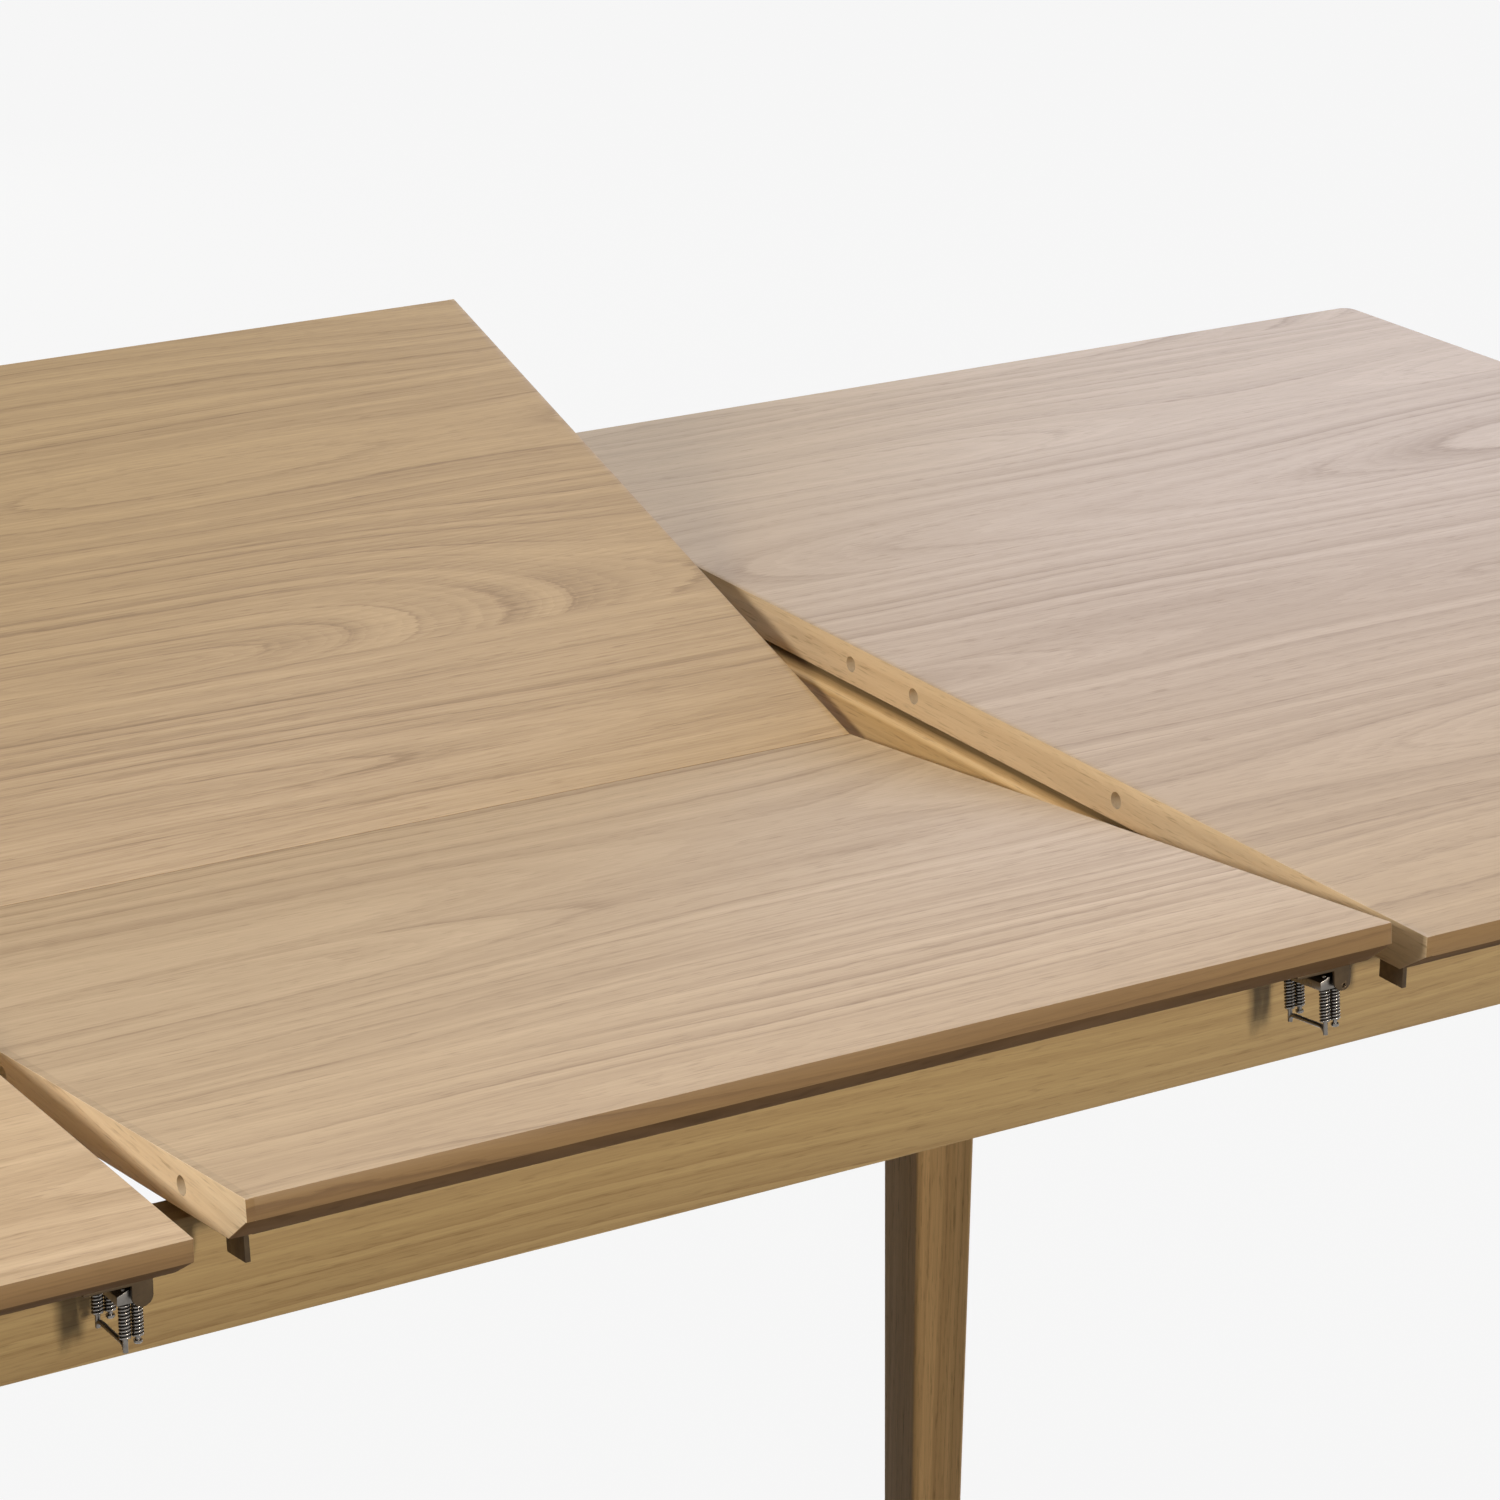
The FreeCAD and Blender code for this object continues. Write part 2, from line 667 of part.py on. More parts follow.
save("right_top_catches", both_sides(catch_plate(top_inner, -latch_y), ACROSS))
save("front_leaf_catch", [tilt_front(catch_plate(-leaf_half_length, -latch_y))])
save("rear_leaf_catch", [tilt_rear(catch_plate(-leaf_half_length, latch_y))])
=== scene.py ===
import json
import math

import bmesh
import bpy
from mathutils import Euler, Matrix, Vector


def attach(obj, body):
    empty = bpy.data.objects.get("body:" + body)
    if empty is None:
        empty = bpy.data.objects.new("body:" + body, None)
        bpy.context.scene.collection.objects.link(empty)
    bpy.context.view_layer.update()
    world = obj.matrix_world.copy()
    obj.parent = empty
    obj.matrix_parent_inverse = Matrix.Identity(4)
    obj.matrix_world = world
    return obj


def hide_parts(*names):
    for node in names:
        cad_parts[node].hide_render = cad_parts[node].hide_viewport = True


# Butterfly leaf table in light oak. Metres, X along the table, front is -Y, floor at 0.

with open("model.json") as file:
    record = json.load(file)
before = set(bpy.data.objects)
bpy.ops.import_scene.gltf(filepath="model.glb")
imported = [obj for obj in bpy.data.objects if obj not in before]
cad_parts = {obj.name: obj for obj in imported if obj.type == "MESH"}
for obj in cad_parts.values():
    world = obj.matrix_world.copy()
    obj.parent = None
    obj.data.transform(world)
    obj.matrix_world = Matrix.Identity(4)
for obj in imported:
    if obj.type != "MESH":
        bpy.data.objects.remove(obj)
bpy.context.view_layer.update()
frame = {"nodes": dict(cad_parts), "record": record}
print("frame loaded")

table = {
    "height": 0.750,
    "halfWidth": 0.450,
    "boardThickness": 0.022,
    "topInner": 0.307,       # meeting edge of each sliding top
    "leafHalf": 0.285,       # half the length of the leaf
    "lipping": 0.004,
    "pivotY": 0.1125,
    "pivotDrop": 0.030,
    "leafTilt": 17.7,        # degrees, rear half against level
    "frontTilt": 6.1,        # degrees, front half against level
}
underside = table["height"] - table["boardThickness"]

pivot = Vector((0, table["pivotY"], table["height"] - table["pivotDrop"]))
seam = Vector((0, 0, table["height"]))


def turnAbout(point, axis, degrees):
    turn = Matrix.Rotation(math.radians(degrees), 4, axis)
    return Matrix.Translation(point) @ turn @ Matrix.Translation(-point)


flat = Matrix.Identity(4)
rearPose = turnAbout(pivot, "X", table["leafTilt"])
frontPose = rearPose @ turnAbout(seam, "X", -(table["leafTilt"] + table["frontTilt"]))


cameraSetup = {
    "place": (-1.05838, -2.07017, 1.59353),
    "yaw": 31.8189,          # from +Y towards +X
    "pitch": 19.8284,        # down
    "roll": 0.3932,
    "lens": 120.2124,
    "sensor": 36,
    "clipEnd": 60,
}


def addCamera(setup):
    data = bpy.data.cameras.new("tableCamera")
    data.lens = setup["lens"]
    data.sensor_width = setup["sensor"]
    data.clip_end = setup["clipEnd"]
    camera = bpy.data.objects.new("tableCamera", data)
    bpy.context.scene.collection.objects.link(camera)
    aim = Euler((math.radians(90 - setup["pitch"]), 0, math.radians(-setup["yaw"]))).to_matrix()
    turned = aim @ Matrix.Rotation(math.radians(setup["roll"]), 3, "Z")
    camera.matrix_world = Matrix.Translation(setup["place"]) @ turned.to_4x4()
    bpy.context.scene.camera = camera


addCamera(cameraSetup)
bpy.context.scene.view_settings.view_transform = "Standard"


def linearColour(hexText):
    values = [int(hexText[i:i + 2], 16) / 255 for i in (1, 3, 5)]
    return tuple(v / 12.92 if v <= 0.04045 else ((v + 0.055) / 1.055) ** 2.4 for v in values) + (1.0,)


def addNode(tree, kind, settings=None, inputs=None):
    # a node given as an input is linked by its first output
    node = tree.nodes.new(kind)
    for name, value in (settings or {}).items():
        setattr(node, name, value)
    for name, value in (inputs or {}).items():
        if isinstance(value, bpy.types.Node):
            value = value.outputs[0]
        if isinstance(value, bpy.types.NodeSocket):
            tree.links.new(value, node.inputs[name])
        else:
            node.inputs[name].default_value = value
    return node


def newMaterial(name):
    material = bpy.data.materials.new(name)
    material.use_nodes = True
    tree = material.node_tree
    tree.nodes.clear()
    return material, tree


def finishMaterial(tree, shader):
    addNode(tree, "ShaderNodeOutputMaterial", inputs={"Surface": shader})


# Crown-cut oak veneer, sanded, under a satin lacquer: each leaf of veneer is sliced past the pith, so that its
# growth rings close into cathedrals, with short dark pores and fine fibres along the grain.
# Turns give the run of the grain along x, y or z.
grainTurns = {"x": (0, 0, 0), "y": (0, 0, math.radians(90)), "z": (0, math.radians(90), 0)}

oakFinish = {
    "light": "#BF9F71", "dark": "#8B6C43", "pore": "#6F5330",
    "stripWidth": 0.150, "stripTone": 0.16,          # one leaf of veneer
    "ringPitch": 0.0125, "pithOffset": 0.075, "pithDepth": 0.030, "pithWander": 0.13, "pithLength": 0.75,
    "aside": 0.0, "sway": 0.035, "swayLength": 0.40,
    "ringDepth": 0.60, "lineRough": 0.25, "fineDepth": 0.13, "bandDepth": 0.42,
    "fibreLength": 0.070, "fibreWidth": 0.0016, "fibreDepth": 0.24,
    # real pores are 0.3 mm wide, drawn wider to show
    "poreLength": 0.014, "poreWidth": 0.0011, "poreDepth": 0.38,
    "roughness": 0.42, "specular": 0.36, "bump": 0.00012,
    "shift": (0, 0, 0), "seed": 0.0, "grain": "x",
    "paleAndLitEndTones": None, "shadedEdgeTones": None,             # light and dark on the short and on the long edges: the short ends paler partly as painted light, the long edges darker as painted shade
}

# what the figure of every board shares; a window is the stretch of noise that takes a pattern from none to full
figure = {
    "leafShift": 9.0, "leafLayer": 5.0,                         # how far chance moves the pattern of each veneer leaf
    "swayWidth": 0.16, "pithWidth": 3.0,
    "frayLength": 0.030, "frayWidth": 0.0030,                   # how the ring lines are frayed
    "fadeLength": 0.35, "fadeWidth": 0.045, "faded": 0.12,      # and where they fade
    "spacingRate": 0.5, "spacing": 0.85,                        # how unevenly they are spaced, in rings
    "bandRate": 0.8, "finePerRing": 4.3,
    "fadeWindow": (0.36, 0.64), "fibreWindow": (0.3, 0.7), "bandWindow": (0.38, 0.64), "poreWindow": (0.56, 0.70),
    "outsideLine": 0.45, "fullLine": 0.5,                       # share of the pores that lie outside a ring's line
    "bumpStrength": 0.35, "roughSpread": (-0.03, 0.10),
}
# darkness across one ring, from the line of pores to the next one
ringProfile = ((0.0, 0.55), (0.04, 1.0), (0.11, 0.55), (0.40, 0.24), (0.72, 0.0), (0.95, 0.10), (1.0, 0.25))


def oakMaterial(name, **changes):
    look = dict(oakFinish, **changes)
    material, tree = newMaterial(name)
    place = addNode(tree, "ShaderNodeTexCoord")
    facing = addNode(tree, "ShaderNodeVectorMath", {"operation": "ABSOLUTE"}, {0: place.outputs["Normal"]})
    facing = addNode(tree, "ShaderNodeSeparateXYZ", inputs={0: facing})
    isEnd = addNode(tree, "ShaderNodeMath", {"operation": "GREATER_THAN"}, {0: facing.outputs[0], 1: 0.5})
    isShadedEdge = addNode(tree, "ShaderNodeMath", {"operation": "GREATER_THAN"}, {0: facing.outputs[1], 1: 0.5})
    run = addNode(tree, "ShaderNodeMapping", {"vector_type": "POINT"},
                  {"Vector": place.outputs["Object"], "Rotation": grainTurns[look["grain"]], "Location": look["shift"]})
    if look["paleAndLitEndTones"]:    # the lipping on the short ends runs along them
        along = addNode(tree, "ShaderNodeMapping", {"vector_type": "POINT"},
                        {"Vector": place.outputs["Object"], "Rotation": grainTurns["y"]})
        run = addNode(tree, "ShaderNodeMix", {"data_type": "VECTOR"}, {0: isEnd, 4: run, 5: along}).outputs[1]
    part = addNode(tree, "ShaderNodeSeparateXYZ", inputs={0: run})
    across = addNode(tree, "ShaderNodeMath", {"operation": "ADD"}, {0: part.outputs[1], 1: part.outputs[2]})

    # which leaf of veneer, and the place in it
    width = look["stripWidth"]
    steps = addNode(tree, "ShaderNodeMath", {"operation": "DIVIDE"}, {0: across, 1: width})
    strip = addNode(tree, "ShaderNodeMath", {"operation": "FLOOR"}, {0: steps})
    inStrip = addNode(tree, "ShaderNodeMath", {"operation": "FRACT"}, {0: steps})
    inStrip = addNode(tree, "ShaderNodeMapRange", inputs={0: inStrip, 3: -width / 2, 4: width / 2})
    chance = addNode(tree, "ShaderNodeMath", {"operation": "ADD"}, {0: strip, 1: look["seed"]})
    chance = addNode(tree, "ShaderNodeTexWhiteNoise", {"noise_dimensions": "1D"}, {"W": chance})
    chances = addNode(tree, "ShaderNodeSeparateColor", inputs={0: chance.outputs["Color"]})
    shifted = addNode(tree, "ShaderNodeMath", {"operation": "MULTIPLY_ADD"},
                      {0: chances.outputs[1], 1: figure["leafShift"], 2: part.outputs[0]})
    layer = addNode(tree, "ShaderNodeMath", {"operation": "MULTIPLY"},
                    {0: chances.outputs[2], 1: figure["leafLayer"]})

    def drawnOut(length, width, detail, roughness):
        # noise stretched along the grain
        spot = addNode(tree, "ShaderNodeCombineXYZ", inputs={0: shifted, 1: across, 2: layer})
        spot = addNode(tree, "ShaderNodeVectorMath", {"operation": "DIVIDE"}, {0: spot, 1: (length, width, 1.0)})
        return addNode(tree, "ShaderNodeTexNoise",
                       inputs={"Vector": spot, "Scale": 1.0, "Detail": detail, "Roughness": roughness})

    # rings: distance from a pith that wanders under the slice
    beside = addNode(tree, "ShaderNodeMapRange",
                     inputs={0: chances.outputs[0], 3: -look["pithOffset"], 4: look["pithOffset"]})
    beside = addNode(tree, "ShaderNodeMath", {"operation": "SUBTRACT"}, {0: inStrip, 1: beside})
    swayed = addNode(tree, "ShaderNodeMapRange",
                     inputs={0: drawnOut(look["swayLength"], figure["swayWidth"], 1.0, 0.4),
                             3: look["aside"] - look["sway"] / 2, 4: look["aside"] + look["sway"] / 2})
    aside = addNode(tree, "ShaderNodeMath", {"operation": "ADD"}, {0: beside, 1: swayed})
    below = addNode(tree, "ShaderNodeMapRange",
                    inputs={0: drawnOut(look["pithLength"], figure["pithWidth"], 1.0, 0.4),
                            3: look["pithDepth"] - look["pithWander"], 4: look["pithDepth"] + look["pithWander"]})
    arm = addNode(tree, "ShaderNodeCombineXYZ", inputs={0: aside, 1: below, 2: 0.0})
    radius = addNode(tree, "ShaderNodeVectorMath", {"operation": "LENGTH"}, {0: arm}).outputs[1]
    count = addNode(tree, "ShaderNodeMath", {"operation": "DIVIDE"}, {0: radius, 1: look["ringPitch"]})

    def alongRadius(rate, detail):
        # noise that only changes from ring to ring
        spot = addNode(tree, "ShaderNodeMath", {"operation": "MULTIPLY_ADD"}, {0: count, 1: rate, 2: layer})
        return addNode(tree, "ShaderNodeTexNoise", {"noise_dimensions": "1D"},
                       {"W": spot, "Scale": 1.0, "Detail": detail})

    frayed = addNode(tree, "ShaderNodeMapRange",
                     inputs={0: drawnOut(figure["frayLength"], figure["frayWidth"], 2.0, 0.6),
                             3: -look["lineRough"] / 2, 4: look["lineRough"] / 2})
    spaced = addNode(tree, "ShaderNodeMapRange",
                     inputs={0: alongRadius(figure["spacingRate"], 1.0), 3: -figure["spacing"], 4: figure["spacing"]})
    spaced = addNode(tree, "ShaderNodeMath", {"operation": "ADD"}, {0: count, 1: spaced})
    uneven = addNode(tree, "ShaderNodeMath", {"operation": "ADD"}, {0: spaced, 1: frayed})
    ring = addNode(tree, "ShaderNodeMath", {"operation": "FRACT"}, {0: uneven})
    fine = addNode(tree, "ShaderNodeMath", {"operation": "MULTIPLY"}, {0: uneven, 1: figure["finePerRing"]})
    fine = addNode(tree, "ShaderNodeMath", {"operation": "FRACT"}, {0: fine})
    line = addNode(tree, "ShaderNodeValToRGB", inputs={0: ring})
    stops = line.color_ramp.elements
    for where, value in ringProfile[1:-1]:
        stops.new(where)
    for stop, (where, value) in zip(stops, ringProfile):
        stop.position, stop.color = where, (value, value, value, 1)
    low, high = figure["fadeWindow"]
    fade = addNode(tree, "ShaderNodeMapRange",
                   inputs={0: drawnOut(figure["fadeLength"], figure["fadeWidth"], 1.0, 0.5), 1: low, 2: high,
                           3: figure["faded"] * look["ringDepth"], 4: look["ringDepth"]})
    rings = addNode(tree, "ShaderNodeMath", {"operation": "MULTIPLY"}, {0: line, 1: fade})

    # what darkens the wood: rings, fibres, broad bands and the tone of the whole leaf of veneer
    low, high = figure["fibreWindow"]
    fibres = addNode(tree, "ShaderNodeMapRange",
                     inputs={0: drawnOut(look["fibreLength"], look["fibreWidth"], 3.0, 0.65), 1: low, 2: high,
                             4: look["fibreDepth"]})
    low, high = figure["bandWindow"]
    bands = addNode(tree, "ShaderNodeMapRange",
                    inputs={0: alongRadius(figure["bandRate"], 2.0), 1: low, 2: high, 3: look["fineDepth"],
                            4: look["fineDepth"] + look["bandDepth"]})
    bands = addNode(tree, "ShaderNodeMath", {"operation": "MULTIPLY_ADD"}, {0: fine, 1: -look["fineDepth"], 2: bands})
    toned = addNode(tree, "ShaderNodeMath", {"operation": "MULTIPLY_ADD"},
                    {0: chances.outputs[2], 1: look["stripTone"], 2: bands})
    shade = addNode(tree, "ShaderNodeMath", {"operation": "ADD"}, {0: rings, 1: fibres})
    shade = addNode(tree, "ShaderNodeMath", {"operation": "ADD", "use_clamp": True}, {0: shade, 1: toned})
    inLine = addNode(tree, "ShaderNodeMapRange",
                     inputs={0: line, 1: 0.0, 2: figure["fullLine"], 3: figure["outsideLine"], 4: 1.0})
    low, high = figure["poreWindow"]
    pores = addNode(tree, "ShaderNodeMapRange",
                    inputs={0: drawnOut(look["poreLength"], look["poreWidth"], 2.0, 0.5), 1: low, 2: high,
                            4: look["poreDepth"]})
    pores = addNode(tree, "ShaderNodeMath", {"operation": "MULTIPLY"}, {0: pores, 1: inLine})

    # the tones on the end faces are partly painted light, those on the long edges painted shade
    colour = None
    for tones, isHere in (((look["light"], look["dark"]), None),
                          (look["paleAndLitEndTones"], isEnd), (look["shadedEdgeTones"], isShadedEdge)):
        if tones:
            toneMix = addNode(tree, "ShaderNodeMix", {"data_type": "RGBA"},
                              {0: shade, 6: linearColour(tones[0]), 7: linearColour(tones[1])}).outputs[2]
            colour = toneMix if colour is None else addNode(tree, "ShaderNodeMix", {"data_type": "RGBA"},
                                                            {0: isHere, 6: colour, 7: toneMix}).outputs[2]
    pored = addNode(tree, "ShaderNodeMix", {"data_type": "RGBA"},
                    {0: pores, 6: colour, 7: linearColour(look["pore"])})
    height = addNode(tree, "ShaderNodeMath", {"operation": "ADD"}, {0: shade, 1: pores})
    bump = addNode(tree, "ShaderNodeBump", {"invert": True},
                   {"Height": height, "Strength": figure["bumpStrength"], "Distance": look["bump"]})
    low, high = figure["roughSpread"]
    dull = addNode(tree, "ShaderNodeMapRange",
                   inputs={0: height, 3: look["roughness"] + low, 4: look["roughness"] + high})
    shader = addNode(tree, "ShaderNodeBsdfPrincipled",
                     inputs={"Base Color": pored.outputs[2], "Roughness": dull, "IOR": 1.5,
                             "Specular IOR Level": look["specular"], "Normal": bump})
    finishMaterial(tree, shader)
    return material


# the end faces are paler than the veneer, partly as the lipping's planed solid oak and partly as painted light where
# the low light from the left falls on them, and the long edges are painted darker as painted shade, where less light
# reaches them
boardTones = {"paleAndLitEndTones": ("#E1C8A2", "#C2A57D"), "shadedEdgeTones": ("#9B7C52", "#735636")}
# each board's tones differ partly as real veneer does and partly as painted light: the left top and the front leaf are
# painted lighter and the rear leaf darker for how the light falls on them, the tops and the front leaf are painted
# bluer as painted sheen, and the front leaf's ends paler still as painted light on its lit left end
oakVeneerRight = oakMaterial("oakVeneerRightTop", shift=(0.35, 0.02, 0.0), seed=33.0, light="#BA9F7A", dark="#886E4E",
                             ringDepth=0.44, bandDepth=0.24,
                             fibreDepth=0.16, pithWander=0.11, pithDepth=0.045, **boardTones)
oakVeneerLeft = oakMaterial("oakVeneerLeftTop", shift=(1.9, 0.05, 0.0), seed=17.0, light="#CBAD83", dark="#9C7F56",
                            ringDepth=0.40, bandDepth=0.20, **boardTones)
oakVeneerRear = oakMaterial("oakVeneerRearLeaf", shift=(2.52, 0.01, 0.0), seed=22.0, light="#B49665", dark="#7F633B",
                            ringDepth=0.46, bandDepth=0.22, fibreDepth=0.32, **boardTones)
oakVeneerFront = oakMaterial("oakVeneerFrontLeaf", shift=(4.1, 0.03, 0.0), seed=47.0, light="#C5A981", dark="#927653",
                             bandDepth=0.26, **dict(boardTones, paleAndLitEndTones=("#F0DAB6", "#D2B58E")))
# sealed with one thin coat only, so matt, and painted darker as painted shade under the boards
shadedUnderside = oakMaterial("oakUndersidePaintedShade", light="#856644", dark="#644A2E", pore="#4E3823", roughness=0.75,
                           specular=0.12, seed=59.0)
straightGrain = {"stripWidth": 0.60, "stripTone": 0.0, "pithOffset": 0.0, "pithDepth": 0.11, "pithWander": 0.12,
                 "aside": 0.45, "sway": 0.02, "ringPitch": 0.0060, "ringDepth": 0.42, "bandDepth": 0.24}
apronTones = {"light": "#C3A775", "dark": "#93744A", "pore": "#7A5E38"}
oakApron = oakMaterial("oakApronLong", **straightGrain, **apronTones)
oakApronEnd = oakMaterial("oakApronEnd", grain="y", **straightGrain, **apronTones)
oakRail = oakMaterial("oakCrossRail", grain="y", light="#CFAF7B", dark="#AC8755", **straightGrain)
oakLeg = oakMaterial("oakLegSolid", grain="z", light="#E8C088", dark="#AC855A", specular=0.06, **straightGrain)


# Steamed beech, planed and unvarnished: even, pinkish, with short fine flecks along the grain.
def beechMaterial(name, grain):
    return oakMaterial(name, grain=grain, light="#CDAE86", dark="#B7946A", pore="#9C774E",
                       **dict(straightGrain, ringDepth=0.12, bandDepth=0.15), fibreDepth=0.15, poreLength=0.004,
                       poreWidth=0.0007, poreDepth=0.35, roughness=0.55, specular=0.35)


beechAlong = beechMaterial("beechPlaned", "x")
beechBlock = beechMaterial("beechCornerBlock", "y")


metalLooks = {
    # zinc-plated pressed steel: pale, slightly bluish, cloudy sheen from the plating bath
    "zincPlatedSteel": {"light": "#C4C6C8", "dark": "#9FA2A5",
                        "patch": 0.006, "roughness": (0.26, 0.42), "bump": 0.00003},
    # drawn steel wire with an oiled dark skin: brown-grey, shiny only along the crest
    "oiledSteelWire": {"light": "#8E8983", "dark": "#5F5A54",
                       "patch": 0.003, "roughness": (0.24, 0.38), "bump": 0.00002},
    # pressed steel painted dark brown as painted shade, so that the catches and latch plates merge into the shade under
    # the boards; soft sheen
    "shadeDarkenedSteelPlate": {"light": "#5E4E3A", "dark": "#40352A",
                          "patch": 0.005, "roughness": (0.36, 0.5), "bump": 0.00003},
    # nickel-plated spring wire, a little tarnished: grey, with a narrow highlight on each coil
    "nickelSpringWire": {"light": "#8F8A84", "dark": "#6B6661",
                         "patch": 0.004, "roughness": (0.16, 0.26), "bump": 0.00001},
    # cast and turned brass, dulled by handling
    "turnedBrass": {"light": "#D0AA62", "dark": "#A88345",
                    "patch": 0.005, "roughness": (0.24, 0.36), "bump": 0.00002},
}


def metalMaterial(name, look):
    material, tree = newMaterial(name)
    place = addNode(tree, "ShaderNodeTexCoord")
    cloud = addNode(tree, "ShaderNodeTexNoise", inputs={"Vector": place.outputs["Object"], "Scale": 1 / look["patch"],
                                                        "Detail": 4, "Roughness": 0.6})
    tone = addNode(tree, "ShaderNodeMix", {"data_type": "RGBA"},
                   {0: cloud, 6: linearColour(look["light"]), 7: linearColour(look["dark"])})
    low, high = look["roughness"]
    dull = addNode(tree, "ShaderNodeMapRange", inputs={0: cloud, 1: 0.3, 2: 0.7, 3: low, 4: high})
    bump = addNode(tree, "ShaderNodeBump", inputs={"Height": cloud, "Strength": 0.3, "Distance": look["bump"]})
    shader = addNode(tree, "ShaderNodeBsdfPrincipled",
                     inputs={"Base Color": tone.outputs[2], "Metallic": 1.0, "Roughness": dull, "Normal": bump})
    finishMaterial(tree, shader)
    return material


zinc, wire, shadeDarkPlate, nickel, brass = [metalMaterial(name, look) for name, look in metalLooks.items()]

softLooks = {
    # pressed wool felt, grey-brown: matt, fuzzy, a few light hairs
    "pressedFelt": {"light": "#6A625A", "dark": "#463F39", "patch": 0.0012, "roughness": 0.95, "bump": 0.0004},
    # moulded polyamide glide: off-white, fine spark-eroded grain
    "mouldedPolyamide": {"light": "#A39C90", "dark": "#8B8479", "patch": 0.0015, "roughness": 0.55, "bump": 0.00005},
    # moulded socket in each peg hole: cream, smooth from the tool
    "mouldedSocket": {"light": "#F0E0C4", "dark": "#E2CFAE", "patch": 0.0015, "roughness": 0.38, "bump": 0.00002},
}


def plainMaterial(name, look):
    material, tree = newMaterial(name)
    place = addNode(tree, "ShaderNodeTexCoord")
    grain = addNode(tree, "ShaderNodeTexNoise", inputs={"Vector": place.outputs["Object"], "Scale": 1 / look["patch"],
                                                        "Detail": 5, "Roughness": 0.7})
    mottle = addNode(tree, "ShaderNodeMapRange", inputs={0: grain, 1: 0.3, 2: 0.7, 3: 0.0, 4: 1.0})
    tone = addNode(tree, "ShaderNodeMix", {"data_type": "RGBA"},
                   {0: mottle, 6: linearColour(look["light"]), 7: linearColour(look["dark"])})
    bump = addNode(tree, "ShaderNodeBump", inputs={"Height": grain, "Strength": 0.6, "Distance": look["bump"]})
    shader = addNode(tree, "ShaderNodeBsdfPrincipled",
                     inputs={"Base Color": tone.outputs[2], "Roughness": look["roughness"], "Normal": bump})
    finishMaterial(tree, shader)
    return material


felt, polyamide, socketPlastic = [plainMaterial(name, look) for name, look in softLooks.items()]
print("materials made")


def activate(piece):
    for other in list(bpy.context.selected_objects):
        other.select_set(False)
    piece.select_set(True)
    bpy.context.view_layer.objects.active = piece


def bakePlace(piece, matrix=None):
    activate(piece)
    if matrix is not None:
        piece.matrix_world = matrix @ piece.matrix_world
    bpy.ops.object.transform_apply(location=True, rotation=True, scale=True)
    if matrix is not None and matrix.determinant() < 0:
        outward(piece)


def outward(piece):
    activate(piece)
    bpy.ops.object.mode_set(mode="EDIT")
    bpy.ops.mesh.select_all(action="SELECT")
    bpy.ops.mesh.normals_make_consistent(inside=False)
    bpy.ops.object.mode_set(mode="OBJECT")


def pickInEdit(piece, kind, test):
    # selects the edges or faces that pass the test, from inside edit mode
    bpy.ops.mesh.select_mode(type=kind)
    bpy.ops.mesh.select_all(action="DESELECT")
    shape = bmesh.from_edit_mesh(piece.data)
    for item in (shape.edges if kind == "EDGE" else shape.faces):
        if test(item):
            item.select_set(True)
    bmesh.update_edit_mesh(piece.data)


def copyOf(piece, name):
    twin = bpy.data.objects.new(name, piece.data.copy())
    bpy.context.scene.collection.objects.link(twin)
    return twin


def dress(piece, body, material, nodes=()):
    piece.data.materials.clear()
    piece.data.materials.append(material)
    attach(piece, body)
    if nodes:
        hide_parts(*nodes)


bodyOf = {node: body for body, nodes in frame["record"]["behaviour"]["bodies"].items() for node in nodes}

# veneered boards with the lipping on their short ends: ease is the width of the sanded edge, joints are planes
# across X where board and lipping stay flush, holes are the plane and the pose of the locating holes
boardJoint = table["topInner"] + table["lipping"]
leafJoint = table["leafHalf"] - table["lipping"]
boards = {
    "right_top": {"lipping": "right_top_lipping", "material": oakVeneerRight, "ease": 0.0007,
                  "joints": (boardJoint,), "holes": (table["topInner"], flat)},
    "left_top": {"lipping": "left_top_lipping", "material": oakVeneerLeft, "ease": 0.0007,
                 "joints": (-boardJoint,), "holes": None},
    "rear_leaf": {"lipping": "rear_leaf_lippings", "material": oakVeneerRear, "ease": 0.0006,
                  "joints": (-leafJoint, leafJoint), "holes": (-table["leafHalf"], rearPose)},
    "front_leaf": {"lipping": "front_leaf_lippings", "material": oakVeneerFront, "ease": 0.0006,
                   "joints": (-leafJoint, leafJoint), "holes": (-table["leafHalf"], frontPose)},
}
lippingEase = 0.0005

